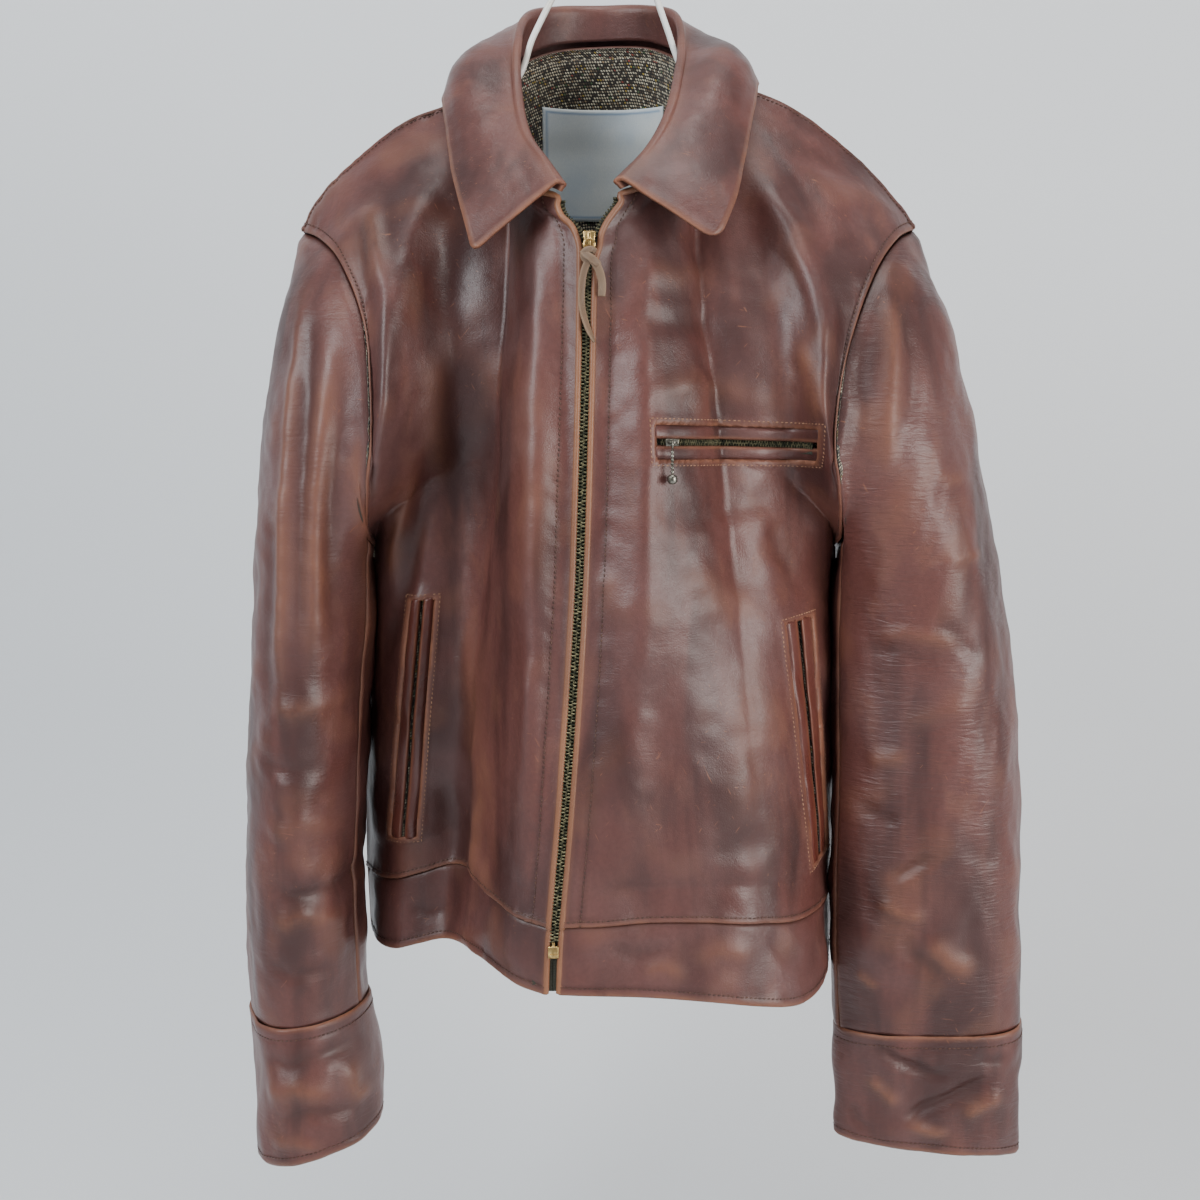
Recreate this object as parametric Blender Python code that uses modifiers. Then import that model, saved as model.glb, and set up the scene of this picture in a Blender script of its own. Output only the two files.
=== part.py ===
"""A worn leather jacket, zip front, hanging open at the neck on a coated wire hanger.

Lengths inside the functions are millimetres, and every mesh is made in metres.
X runs to the right of someone who looks at the front, Y runs into the picture and Z is up.
The origin is the point where the hanger's hook rests on its rail.
Right and left in the names are the wearer's: the right front is on the viewer's left.
"""

import math

import bmesh
import bpy
import numpy as np
from mathutils import Matrix, Vector
from mathutils.bvhtree import BVHTree

MM = 0.001

# Thicknesses and clearances
LEATHER = 2.2
COLLAR_LEATHER = 2.8
SEAM_INSET = 0.17
CLEAR = 0.4

# Cells of the cloth grids
ARMHOLE_CELLS = 10
SIDE_CELLS = 11
BAND_CELLS = 2
NECK_CELLS = 5
SHOULDER_CELLS = 5
BACK_NECK_CELLS = 6
SLEEVE_AROUND = 2 * ARMHOLE_CELLS
FRONT_SEAM_CELL = 9
BACK_SEAM_CELL = 14

# Shares of a panel's edge, by length of the real seam
ARMHOLE_SHARE = 0.42
BAND_SHARE = 0.912
NECK_SHARE = 0.46
BACK_SHOULDER_SHARE = 0.33

# Front zip: shares are of its line's length, from the top; tape steps are from its front's edge
TAPE_STEPS = (-3.6, 1.0, 9.0)
TAPE_ENDS = (0.004, 0.996)
TAPE_THICKNESS, TAPE_BEHIND, TAPE_CELLS = 0.9, 1.4, 24
CHAIN_WIDTH, CHAIN_THICKNESS, CHAIN_PROUD, CHAIN_CELLS = 5.6, 2.2, 0.2, 16
ZIP_TOP_SHARE, ZIP_END_SHARE, SLIDER_SHARE, BOX_SHARE = 0.085, 0.93, 0.052, 0.942
FRONT_SLIDER = (8.0, 3.0, 11.0)
FRONT_SLIDER_STANDOFF = 2.4
BOTTOM_BOX = (7.0, 3.4, 8.0)
BOTTOM_BOX_SINK = 0.6

# Slider bails and pulls
BAIL_REACH, BAIL_RISE, BAIL_WIRE, BAIL_SINK = 2.6, 4.0, 0.55, 0.5
FRONT_RING, FRONT_RING_WIRE = 3.6, 0.6
BREAST_RING, BREAST_RING_WIRE = 2.6, 0.55
RING_CLEAR = 0.2
KNOT_HALF = (4.2, 2.7, 3.8)
KNOT_DROP = 4.2
LACE_DIAMETER, LACE_STANDOFF = 3.0, 2.3
# Each lace tail as steps across and down from the knot's middle
LONG_TAIL = [(-1.5, 3.6), (-4, 13), (-4.5, 28), (-2, 42), (3.5, 54)]
SHORT_TAIL = [(3.4, 2.8), (7.5, 10), (8.5, 23)]

# Breast pocket's zip and its bead chain
BREAST_CHAIN_HALF, BREAST_CHAIN_THICKNESS, BREAST_CHAIN_SINK = 0.12, 2.0, 0.4
BREAST_CHAIN_ENDS = (0.012, 0.988)
BREAST_SLIDER = (8.5, 2.6, 4.4)
BREAST_SLIDER_STANDOFF, BREAST_SLIDER_SHARE = 0.9, 0.09
BEADS, BEAD_PITCH, BEAD_TOP = 6, 2.5, 0.3
BEAD_PROFILE = [(0.45, 0), (1.15, 0.7), (1.15, 1.5), (0.45, 2.2)]
BALL_PROFILE = [(0.5, 0), (2.4, 0.8), (3.2, 2.2), (3.3, 4.4), (2.6, 6.0), (0, 6.6)]

# Hanger
WIRE_DIAMETER = 4.4
HOOK_RADIUS = 21.0
HOOK_TURN = (-80, 200)
NECK_OFFSET = WIRE_DIAMETER + 0.3
ARM_DROP = 11.5
BAR_Z = -298
RIGHT_ARM = [(-NECK_OFFSET, -68), (-NECK_OFFSET, -80), (-20, -95), (-37, -110), (-56, -144), (-71, -177)]
LEFT_ARM = [(NECK_OFFSET, -68), (NECK_OFFSET, -80), (13, -95), (25, -110), (36, -138), (44, -160), (55, -180)]
RIGHT_END = [(-207, -274), (-206, -286), (-196, BAR_Z + 2), (-180, BAR_Z)]
LEFT_END = [(199, -274), (198, -286), (188, BAR_Z + 2), (172, BAR_Z)]
HOOK_STEM = [-84, -70, -56]

# Neck lining and label
LINING_ROWS, LINING_EDGE, LINING_THICKNESS, LINING_CLEAR = 6, 3.0, 1.2, 3.0
LABEL_LEFT, LABEL_RIGHT, LABEL_TOP, LABEL_BOTTOM = -52, 36, -183, -262
LABEL_STANDOFF, LABEL_THICKNESS = 1.3, 0.8
LABEL_COLUMNS, LABEL_ROWS = 9, 6

# Depth of a point well in front of the jacket, and of the chest
VIEWER_DEPTH, CHEST_DEPTH = -400.0, -110.0

# Body centre line, from which the fronts and the back curve away
BODY_CENTRE_X = -6.0
FLAT_HALF_WIDTH = 60.0
FLAT_TOP = -230.0
FLAT_TOP_SLOPE = 0.4

# Shares of a panel, from its seams, over which its fullness and creases grow
SEAM_FADE_ACROSS, SEAM_FADE_DOWN = 0.16, 0.14
FULLNESS_STRETCH, FULLNESS_POWER = 1.15, 0.7
CREASE_END_FADE, CREASE_END_SHARE = 0.2, 0.15

# How full the chest and the back are, and how far an edge's shape reaches into its panel
FRONT_FULLNESS = 24.0
BACK_FULLNESS = 16.0
HEM_REACH = 1.7
SIDE_REACH = 2.2

# The zip's own line down the front
ZIP_LINE = [
    (-16, -98, -268), (-17, -106, -300), (-20, -117, -400), (-24, -124, -523),
    (-32, -129, -650), (-40, -131, -745), (-42, -131, -788),
]

# The fronts' edges run beside the zip, and part above its slider
EDGE_RIGHT = [
    (-36, -98, -266), (-37, -99, -272), (-34, -101, -279), (-27, -103, -286), (-23.5, -106, -296),
    (-22.5, -108, -310), (-24, -117, -400), (-28, -124, -523), (-36, -129, -650), (-44, -131, -745),
    (-46, -131, -788),
]
EDGE_LEFT = [
    (2, -98, -264), (3, -99, -270), (-3, -101, -278), (-9, -103, -288), (-11, -106, -299),
    (-14, -108, -315), (-16, -117, -400), (-20, -124, -523), (-28, -129, -650), (-36, -131, -745),
    (-38, -131, -788),
]

# Neckline from the front's edge up to where the shoulder seam starts, then round the back
NECK_RIGHT = [
    (-36, -98, -266), (-45, -93, -262), (-58, -84, -254), (-74, -56, -226), (-82, -24, -192), (-83, 0, -176),
]
NECK_LEFT = [(2, -98, -264), (13, -92, -259), (27, -84, -250), (46, -56, -220), (56, -24, -186), (60, 0, -170)]
NECK_BACK = [
    (-83, 0, -176), (-74, 30, -159), (-46, 54, -143), (-10, 62, -138),
    (26, 54, -140), (50, 30, -154), (60, 0, -170),
]

SHOULDER_RIGHT = [
    (-83, 0, -176), (-117, 0, -190), (-150, 0, -203), (-191, 0, -235), (-213, 0, -260), (-221, 0, -277),
]
SHOULDER_LEFT = [
    (60, 0, -170), (96, 0, -180), (130, 0, -195), (172, 0, -227), (204, 0, -260), (213, 0, -275),
]

ARMHOLE_FRONT_RIGHT = [
    (-221, 0, -277), (-202, -30, -286), (-183, -58, -306), (-165, -82, -350),
    (-161, -92, -415), (-166, -84, -455), (-172, -50, -487), (-174, 0, -500),
]
ARMHOLE_FRONT_LEFT = [
    (213, 0, -275), (194, -30, -286), (173, -60, -314), (153, -84, -366),
    (145, -93, -420), (150, -84, -456), (157, -50, -488), (160, 0, -500),
]
ARMHOLE_BACK_RIGHT = [
    (-221, 0, -277), (-206, 26, -292), (-190, 52, -322), (-178, 70, -375),
    (-174, 74, -430), (-175, 58, -468), (-175, 30, -490), (-174, 0, -500),
]
ARMHOLE_BACK_LEFT = [
    (213, 0, -275), (198, 26, -292), (182, 52, -322), (168, 70, -375),
    (162, 74, -430), (161, 58, -468), (161, 30, -490), (160, 0, -500),
]
SIDE_RIGHT = [(-174, 0, -500), (-181.5, 27, -560), (-187.5, 40, -650), (-190, 42, -740), (-188, 38, -800)]
SIDE_LEFT = [(160, 0, -500), (166, 26, -560), (171, 42, -650), (171.5, 46, -740), (168, 34, -806)]

# Hem: the right front folds back behind its own ridge, the left front hangs in one wide curve
HEM_RIGHT = [
    (-46, -131, -788), (-66, -121, -785), (-84, -98, -781), (-106, -58, -782), (-124, -33, -785),
    (-143, -26, -791), (-162, -20, -797), (-178, 2, -800), (-188, 38, -800),
]
HEM_LEFT = [
    (-38, -131, -788), (20, -132, -790), (60, -130, -793), (100, -121, -800),
    (127, -103, -806), (146, -70, -808), (157, -30, -808), (168, 34, -806),
]
HEM_BACK = [
    (-188, 38, -800), (-170, 58, -800), (-130, 70, -798), (-92, 72, -796), (-48, 88, -796), (0, 84, -796),
    (48, 92, -797), (96, 80, -799), (134, 66, -802), (156, 50, -805), (168, 34, -806),
]

# Creases of the body: the path in X and Z, the half width and the depth at its middle
FOLDS_RIGHT = [
    ([(-126, -236), (-136, -282), (-147, -345), (-154, -405), (-158, -470)], 13, -8),
    (
        [(-112, -262), (-112, -320), (-109, -380), (-105, -440), (-101, -520), (-104, -640), (-112, -760)],
        20, 11,
    ),
    ([(-60, -560), (-66, -650), (-76, -760)], 20, -5),
    ([(-140, -520), (-146, -600), (-150, -700)], 13, -6),
]
FOLDS_LEFT = [
    ([(96, -238), (117, -280), (131, -318), (136, -372), (137, -430)], 12, -8),
    ([(84, -258), (98, -310), (112, -368), (122, -440), (130, -520)], 16, 6),
    ([(20, -560), (26, -660), (22, -770)], 26, 4),
    ([(96, -520), (98, -620), (90, -740)], 22, -4),
]
FOLDS_BACK = [
    ([(-150, -300), (-138, -390), (-128, -520), (-124, -700), (-128, -790)], 18, -9),
    ([(140, -300), (128, -400), (118, -520), (112, -700), (118, -790)], 18, -9),
    ([(-60, -320), (-52, -460), (-46, -640), (-48, -790)], 24, 7),
    ([(48, -330), (44, -460), (50, -640), (48, -790)], 24, 7),
    ([(0, -420), (-4, -560), (0, -780)], 18, -6),
]

# Sleeve rings below the armhole: outer point (X, Z), inner point (X, Z), front Y, back Y and bow to the body
SLEEVE_RIGHT = [
    ((-228, -318), (-182, -508), -90, 76, 23),
    ((-241, -372), (-182, -522), -90, 76, 9),
    ((-249.5, -435), (-180, -542), -88, 72, 1),
    ((-256, -510), (-178, -572), -86, 68, 0),
    ((-261, -585), (-180, -616), -84, 62, 0),
    ((-266, -660), (-183, -672), -82, 58, 0),
    ((-270, -735), (-185, -738), -80, 54, 0),
    ((-271, -792), (-185, -790), -75, 48, 0),
    ((-270, -840), (-184, -834), -68, 38, 0),
    ((-266, -892), (-176, -880), -72, 36, 0),
    ((-264, -950), (-174, -926), -70, 30, 0),
]
SLEEVE_LEFT = [
    ((226, -318), (168, -508), -88, 72, 26),
    ((240, -360), (168, -522), -86, 66, 12),
    ((255, -420), (167, -542), -82, 58, 4),
    ((270, -490), (166, -572), -78, 50, 0),
    ((283, -560), (161, -616), -74, 42, 0),
    ((294, -640), (159, -672), -72, 36, 0),
    ((298, -715), (158, -738), -70, 30, 0),
    ((301, -790), (159, -795), -66, 22, 0),
    ((303, -848), (162, -850), -58, 6, 0),
    ((301, -897), (164, -893), -54, -6, 0),
    ((299, -948), (165, -934), -50, -14, 0),
]
CUFF_RING = 9
CELLS_PER_RING = 2

# Long soft folds of each sleeve: depth, waves round it and their turn down it, and how they fade at its ends
SLEEVE_FOLDS = {"right": (3.0, 3, 2.0), "left": (2.6, 4, 3.0)}
FOLD_FADE_TOP, FOLD_FADE_END = 0.3, 0.12
INNER_FOLD_SHARE = 0.35

# Pocket openings on the fronts, as corners in X and Z: top left, top right, bottom right, bottom left
BREAST_WINDOW = [(26, -411), (133, -415), (134, -436), (27, -433)]
RIGHT_HAND_WINDOW = [(-144, -536), (-127, -535), (-144, -711), (-164, -713)]
LEFT_HAND_WINDOW = [(117, -547), (137, -545), (154, -716), (141, -720)]
WINDOW_FRONT, WINDOW_BACK = -220, 8
SLIT_HALF = 2.9
WELT_PROUD, WELT_CROWN = 0.7, 1.0
WELT_CELLS, WELT_ROWS = 8, 4

# Collar: stations round the neck from the right front to the left, each with its seam, roll and leaf's edge
COLLAR_STATIONS = [
    ((-37, -98, -266), (-36, -103, -258), (-91, -114, -303)),
    ((-57, -85, -254), (-47, -88, -241), (-99, -97, -274)),
    ((-74, -56, -226), (-60, -65, -220), (-107, -72, -246)),
    ((-82, -24, -192), (-67, -35, -189), (-114, -38, -208)),
    ((-83, 0, -176), (-69, -5, -152), (-119, -8, -187)),
    ((-74, 30, -159), (-63, 30, -123), (-117, 28, -190)),
    ((-46, 54, -143), (-42, 52, -113), (-84, 68, -188)),
    ((-10, 62, -138), (-10, 62, -110), (-10, 92, -184)),
    ((26, 54, -140), (22, 52, -112), (60, 68, -184)),
    ((50, 30, -154), (44, 30, -122), (94, 28, -184)),
    ((60, 0, -170), (48, -2, -150), (98, -8, -180)),
    ((56, -24, -186), (44, -33, -178), (93, -38, -202)),
    ((46, -56, -220), (37, -62, -206), (84, -72, -240)),
    ((27, -84, -250), (24, -85, -232), (77, -98, -268)),
    ((6, -98, -265), (3, -103, -256), (65, -114, -297)),
]
COLLAR_CELLS = 34
ROLL_HALF_WIDTH = 3.6
ROLL_DROP = 3.2
LEAF_BULGE = 13.0
LEAF_ROWS = ((0.3, 0.85), (0.65, 0.8), (1.0, 0.0))
LEAF_FADE_POWER = 0.6
BULGE_AWAY, BULGE_UP = 0.55, 0.85
# Where the leaf stands higher over each shoulder: the share of its length, how far that reaches, and its rise
SHOULDER_RISES = ((0.286, 0.1, 11.0), (0.714, 0.1, 15.0))
LEAF_CLEAR = 3.8
FOOT_CLEAR, FOOT_LIFT = 3.8, 0.5
STAND_HEIGHT, LOWEST_STAND = 24.0, 0.3
UNDER_SKIN_SHARE = 0.5

# Colour, roughness and, for metal, how metallic
HIDE = ((0.17, 0.065, 0.035), 0.38)
HIDE_WORN = ((0.30, 0.14, 0.07), 0.45)
TWEED = ((0.09, 0.07, 0.05), 0.95)
LABEL_CLOTH = ((0.55, 0.6, 0.62), 0.8)
TAPE = ((0.05, 0.05, 0.035), 0.85)
TEETH = ((0.12, 0.13, 0.08), 0.4, 0.9)
BRASS = ((0.42, 0.30, 0.12), 0.35, 1.0)
OLD_METAL = ((0.20, 0.19, 0.15), 0.4, 0.9)
WIRE_COAT = ((0.75, 0.74, 0.70), 0.4)

COLLECTION = bpy.data.collections.new("worn_leather_jacket")
CUTTERS = bpy.data.collections.new("cutters")


def clear_scene():
    for obj in list(bpy.data.objects):
        bpy.data.objects.remove(obj, do_unlink=True)
    bpy.context.scene.collection.children.link(COLLECTION)
    bpy.context.scene.collection.children.link(CUTTERS)
    CUTTERS.hide_render = True


def finish_of(name, colour, roughness, metallic=0.0):
    """One Principled material for a piece."""
    material = bpy.data.materials.new(name)
    material.use_nodes = True
    shader = material.node_tree.nodes["Principled BSDF"]
    shader.inputs["Base Color"].default_value = (*colour, 1.0)
    shader.inputs["Roughness"].default_value = roughness
    shader.inputs["Metallic"].default_value = metallic
    return material


def add_piece(name, mesh, finish, collection=COLLECTION):
    obj = bpy.data.objects.new(name, mesh)
    mesh.materials.append(finish_of(name, *finish))
    collection.objects.link(obj)
    return obj


def between(a, b, c, d, t):
    """The Catmull-Rom curve from b to c, with a and d beyond them."""
    return 0.5 * (2 * b + (c - a) * t + (2 * a - 5 * b + 4 * c - d) * t**2 + (3 * b - a - 3 * c + d) * t**3)


def spline(points, steps=24):
    """A smooth curve through the points, as a function of the share of its length."""
    p = np.array(points, float)
    p = np.vstack([2 * p[0] - p[1], p, 2 * p[-1] - p[-2]])
    t = np.linspace(0, 1, steps, endpoint=False)[:, None]
    runs = []
    for a, b, c, d in zip(p[:-3], p[1:-2], p[2:-1], p[3:]):
        runs.append(between(a, b, c, d, t))
    line = np.vstack(runs + [p[-2:-1]])
    length = np.concatenate([[0], np.cumsum(np.linalg.norm(np.diff(line, axis=0), axis=1))])
    length /= length[-1]

    def at(share):
        share = np.clip(np.asarray(share, float), 0, 1)
        return np.stack([np.interp(share, length, line[:, i]) for i in range(line.shape[1])], axis=-1)

    return at


def joined(first, second, share):
    """One edge made of two curves: the first up to the share, the second after it."""

    def at(value):
        value = np.asarray(value, float)
        a = first(np.clip(value / share, 0, 1))
        b = second(np.clip((value - share) / (1 - share), 0, 1))
        return np.where((value <= share)[..., None], a, b)

    return at


def reversed_curve(curve):
    return lambda share: curve(1 - np.asarray(share, float))


def patch(top, bottom, start, end, start_reach=1.0, end_reach=1.0, hem_reach=1.0, round_back=False):
    """The surface that four edges hold between them, over u across and v down.

    A reach over 1 keeps what an edge does near that edge. A round back takes the fuller of what its
    sides and its neck and hem ask for, not their sum.
    """
    corners = [top(0.0), top(1.0), bottom(0.0), bottom(1.0)]

    def at(u, v):
        across, down = u[..., None], v[..., None]
        upper = (1 - across) * corners[0] + across * corners[1]
        lower = (1 - across) * corners[2] + across * corners[3]
        flat = (1 - down) * upper + down * lower
        first = (1 - down) * corners[0] + down * corners[2]
        last = (1 - down) * corners[1] + down * corners[3]
        sides = (1 - across) ** start_reach * (start(v) - first) + across**end_reach * (end(v) - last)
        ends = (1 - down) * (top(u) - upper) + down**hem_reach * (bottom(u) - lower)
        points = flat + sides + ends
        if round_back:
            from_sides, from_ends = sides[..., 1], ends[..., 1]
            fuller = np.cbrt(np.maximum(from_sides, 0) ** 3 + np.maximum(from_ends, 0) ** 3)
            points[..., 1] = flat[..., 1] + fuller + np.minimum(from_sides, 0) + np.minimum(from_ends, 0)
        return points

    return at


def smooth_step(value):
    value = np.clip(value, 0, 1)
    return value * value * (3 - 2 * value)


def near_path(x, z, path):
    """Distance in X and Z from a path, and the share of the way along it."""
    path = np.array(path, float)
    best = np.full(np.shape(x), 1e9)
    share = np.zeros(np.shape(x))
    pieces = len(path) - 1
    for i in range(pieces):
        (ax, az), (bx, bz) = path[i], path[i + 1]
        along = ((x - ax) * (bx - ax) + (z - az) * (bz - az)) / ((bx - ax) ** 2 + (bz - az) ** 2)
        along = np.clip(along, 0, 1)
        gap = np.hypot(x - ax - along * (bx - ax), z - az - along * (bz - az))
        closer = gap < best
        best = np.where(closer, gap, best)
        share = np.where(closer, (i + along) / pieces, share)
    return best, share


def creased(surface, folds, fullness, towards):
    """The surface with its creases and the fullness of the chest or the back, none of it at the seams."""

    def at(u, v):
        points = surface(u, v)
        edge = smooth_step(u / SEAM_FADE_ACROSS) * smooth_step((1 - u) / SEAM_FADE_ACROSS)
        edge = edge * smooth_step(v / SEAM_FADE_DOWN)
        full = np.sin(math.pi * np.clip(v * FULLNESS_STRETCH, 0, 1)) ** FULLNESS_POWER
        push = towards * fullness * edge * full
        for path, width, depth in folds:
            gap, share = near_path(points[..., 0], points[..., 2], path)
            ends = smooth_step(share / CREASE_END_FADE + CREASE_END_SHARE)
            push = push - towards * depth * np.exp(-((gap / width) ** 2)) * ends * edge
        points = points.copy()
        points[..., 1] += push
        return points

    return at


def body_outward(points):
    """The way out of the body at each point: away from a flat plate inside it."""
    x = points[..., 0] - BODY_CENTRE_X
    plate_x = np.clip(x, -FLAT_HALF_WIDTH, FLAT_HALF_WIDTH)
    plate_z = np.minimum(points[..., 2], FLAT_TOP - FLAT_TOP_SLOPE * np.abs(plate_x))
    out = np.stack([x - plate_x, points[..., 1], points[..., 2] - plate_z], axis=-1)
    return out / np.linalg.norm(out, axis=-1, keepdims=True)


def drawn_in(grid, amount=SEAM_INSET, closed=False):
    """The grid with its edge rows and columns moved a little into it, to leave the seam's gap."""
    grid = grid.copy()

    def moved(edge, inner):
        step = inner - edge
        return edge + amount * step / np.linalg.norm(step, axis=-1, keepdims=True)

    first, last = moved(grid[0], grid[1]), moved(grid[-1], grid[-2])
    grid[0], grid[-1] = first, last
    if not closed:
        left, right = moved(grid[:, 0], grid[:, 1]), moved(grid[:, -1], grid[:, -2])
        grid[:, 0], grid[:, -1] = left, right
    return grid


def slab(name, outer, inner, finish, closed=False):
    """A wall between two grids of points, closed round its edges. A closed grid is a tube."""
    form = bmesh.new()
    out = [[form.verts.new(Vector(point) * MM) for point in row] for row in outer]
    ins = [[form.verts.new(Vector(point) * MM) for point in row] for row in inner]
    rows, columns = len(out), len(out[0])
    across = [(c, (c + 1) % columns) for c in range(columns if closed else columns - 1)]
    for r in range(rows - 1):
        for c, d in across:
            form.faces.new((out[r][c], out[r + 1][c], out[r + 1][d], out[r][d]))
            form.faces.new((ins[r][c], ins[r][d], ins[r + 1][d], ins[r + 1][c]))
    for c, d in across:
        form.faces.new((out[0][c], out[0][d], ins[0][d], ins[0][c]))
        form.faces.new((out[-1][c], ins[-1][c], ins[-1][d], out[-1][d]))
    if not closed:
        for r in range(rows - 1):
            form.faces.new((out[r][0], ins[r][0], ins[r + 1][0], out[r + 1][0]))
            form.faces.new((out[r][-1], out[r + 1][-1], ins[r + 1][-1], ins[r][-1]))
    return finished(name, form, finish)


def finished(name, form, finish):
    """The piece made from a closed form, with its faces pointing out."""
    if form.calc_volume(signed=True) < 0:
        bmesh.ops.reverse_faces(form, faces=form.faces[:])
    mesh = bpy.data.meshes.new(name)
    form.to_mesh(mesh)
    form.free()
    return add_piece(name, mesh, finish)


def skin_of(*grids):
    """The outer faces of panels, for placing what lies on them."""
    points, faces = [], []
    for grid in grids:
        rows, columns = grid.shape[:2]
        first = len(points)
        points += [Vector(point) for row in grid for point in row]
        for r in range(rows - 1):
            for c in range(columns - 1):
                corner = first + r * columns + c
                faces.append((corner, corner + 1, corner + columns + 1, corner + columns))
    return BVHTree.FromPolygons(points, faces)


def depth_at(skin, x, z):
    """Where the front's surface lies behind the point X, Z of the picture plane."""
    hit = skin.ray_cast(Vector((x, VIEWER_DEPTH, z)), Vector((0, 1, 0)))[0]
    return hit.y if hit else skin.find_nearest(Vector((x, CHEST_DEPTH, z)))[0].y


# Edges, rows and columns of the body

def body_curves():
    """Every edge of the body's panels as a function of the share of its length."""
    return {
        "zip_right": spline(EDGE_RIGHT),
        "zip_left": spline(EDGE_LEFT),
        "top_right": joined(spline(NECK_RIGHT), spline(SHOULDER_RIGHT), NECK_SHARE),
        "top_left": joined(spline(NECK_LEFT), spline(SHOULDER_LEFT), NECK_SHARE),
        "side_right": joined(spline(ARMHOLE_FRONT_RIGHT), spline(SIDE_RIGHT), ARMHOLE_SHARE),
        "side_left": joined(spline(ARMHOLE_FRONT_LEFT), spline(SIDE_LEFT), ARMHOLE_SHARE),
        "back_side_right": joined(spline(ARMHOLE_BACK_RIGHT), spline(SIDE_RIGHT), ARMHOLE_SHARE),
        "back_side_left": joined(spline(ARMHOLE_BACK_LEFT), spline(SIDE_LEFT), ARMHOLE_SHARE),
        "hem_right": spline(HEM_RIGHT),
        "hem_left": spline(HEM_LEFT),
        "hem_back": spline(HEM_BACK),
        "back_top": joined(
            reversed_curve(spline(SHOULDER_RIGHT)),
            joined(spline(NECK_BACK), spline(SHOULDER_LEFT), 0.5),
            BACK_SHOULDER_SHARE,
        ),
    }


def steps_through(*stops_and_cells):
    """Shares from 0 to 1, with so many even cells up to each stop."""
    values, last = [0.0], 0.0
    for stop, cells in stops_and_cells:
        values += [last + (stop - last) * (i + 1) / cells for i in range(cells)]
        last = stop
    return np.array(values)


def panel_grids(curves):
    """Outer points of the three body panels, from the neck to the hem."""
    rows = steps_through((ARMHOLE_SHARE, ARMHOLE_CELLS), (BAND_SHARE, SIDE_CELLS), (1.0, BAND_CELLS))
    front_columns = steps_through((NECK_SHARE, NECK_CELLS), (1.0, SHOULDER_CELLS))
    second_shoulder = BACK_SHOULDER_SHARE + (1 - BACK_SHOULDER_SHARE) * 0.5
    back_columns = steps_through(
        (BACK_SHOULDER_SHARE, SHOULDER_CELLS), (second_shoulder, BACK_NECK_CELLS), (1.0, SHOULDER_CELLS)
    )
    right = patch(
        curves["top_right"], curves["hem_right"], curves["zip_right"], curves["side_right"],
        end_reach=SIDE_REACH, hem_reach=HEM_REACH,
    )
    left = patch(
        curves["top_left"], curves["hem_left"], curves["zip_left"], curves["side_left"], end_reach=SIDE_REACH
    )
    back = patch(
        curves["back_top"], curves["hem_back"], curves["back_side_right"], curves["back_side_left"],
        start_reach=SIDE_REACH, end_reach=SIDE_REACH, round_back=True,
    )
    surfaces = {
        "right": (right, FOLDS_RIGHT, -1, front_columns),
        "left": (left, FOLDS_LEFT, -1, front_columns),
        "back": (back, FOLDS_BACK, 1, back_columns),
    }
    grids = {}
    for name, (surface, folds, towards, columns) in surfaces.items():
        fullness = FRONT_FULLNESS if towards < 0 else BACK_FULLNESS
        u, v = np.meshgrid(columns, rows)
        grids[name] = creased(surface, folds, fullness, towards)(u, v)
    return grids


def make_body(grids):
    """Fronts, back and the hem band's three lengths."""
    band_row = ARMHOLE_CELLS + SIDE_CELLS
    names = {
        "right": ("front_right", "hem_band_front_right"),
        "left": ("front_left", "hem_band_front_left"),
        "back": ("back", "hem_band_back"),
    }
    made = {}
    for side, (panel_name, band_name) in names.items():
        for name, part in ((panel_name, grids[side][: band_row + 1]), (band_name, grids[side][band_row:])):
            outer = drawn_in(part)
            made[name] = slab(name, outer, outer - LEATHER * body_outward(outer), HIDE)
    return made


def sleeve_grid(front_armhole, back_armhole, stations):
    """Rows of points down a sleeve, from the armhole to the end of the cuff, and each row's middle."""
    half = SLEEVE_AROUND // 2
    shares = np.linspace(0, 1, half + 1)
    down_front = spline(front_armhole)(shares)
    up_back = reversed_curve(spline(back_armhole))(shares)
    rings = [np.vstack([down_front[:-1], up_back[:-1]])]
    turn = np.linspace(0, 2 * math.pi, SLEEVE_AROUND, endpoint=False)
    for (outer_x, outer_z), (inner_x, inner_z), front, back, bow in stations:
        middle = np.array([(outer_x + inner_x) / 2, (front + back) / 2, (outer_z + inner_z) / 2])
        across = np.array([(outer_x - inner_x) / 2, 0, (outer_z - inner_z) / 2])
        deep = np.array([0, (back - front) / 2, 0])
        inward = np.array([-math.copysign(bow, outer_x), 0, 0])
        ring = middle + np.cos(turn)[:, None] * across - np.sin(turn)[:, None] * deep
        rings.append(ring + (np.sin(turn) ** 2)[:, None] * inward)
    rings = np.array(rings)
    padded = np.concatenate([2 * rings[:1] - rings[1:2], rings, 2 * rings[-1:] - rings[-2:-1]])
    rows = []
    for a, b, c, d in zip(padded[:-3], padded[1:-2], padded[2:-1], padded[3:]):
        rows += [between(a, b, c, d, step / CELLS_PER_RING) for step in range(CELLS_PER_RING)]
    rows.append(rings[-1])
    return np.array(rows)


def sleeve_folds(grid, depth, waves, twist):
    """The sleeve with its long soft folds, which fade towards the armhole and stay out of the cuff's end."""
    rows, columns = grid.shape[:2]
    middle = grid.mean(axis=1, keepdims=True)
    out = grid - middle
    out /= np.linalg.norm(out, axis=-1, keepdims=True)
    down = np.linspace(0, 1, rows)[:, None]
    turn = np.linspace(0, 2 * math.pi, columns, endpoint=False)[None, :]
    outside = 0.5 + 0.5 * np.cos(turn)
    amount = depth * smooth_step(down / FOLD_FADE_TOP) * smooth_step((1 - down) / FOLD_FADE_END)
    wave = np.cos(waves * turn + twist * down) * (INNER_FOLD_SHARE + (1 - INNER_FOLD_SHARE) * outside)
    return grid + (amount * wave)[..., None] * out


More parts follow.
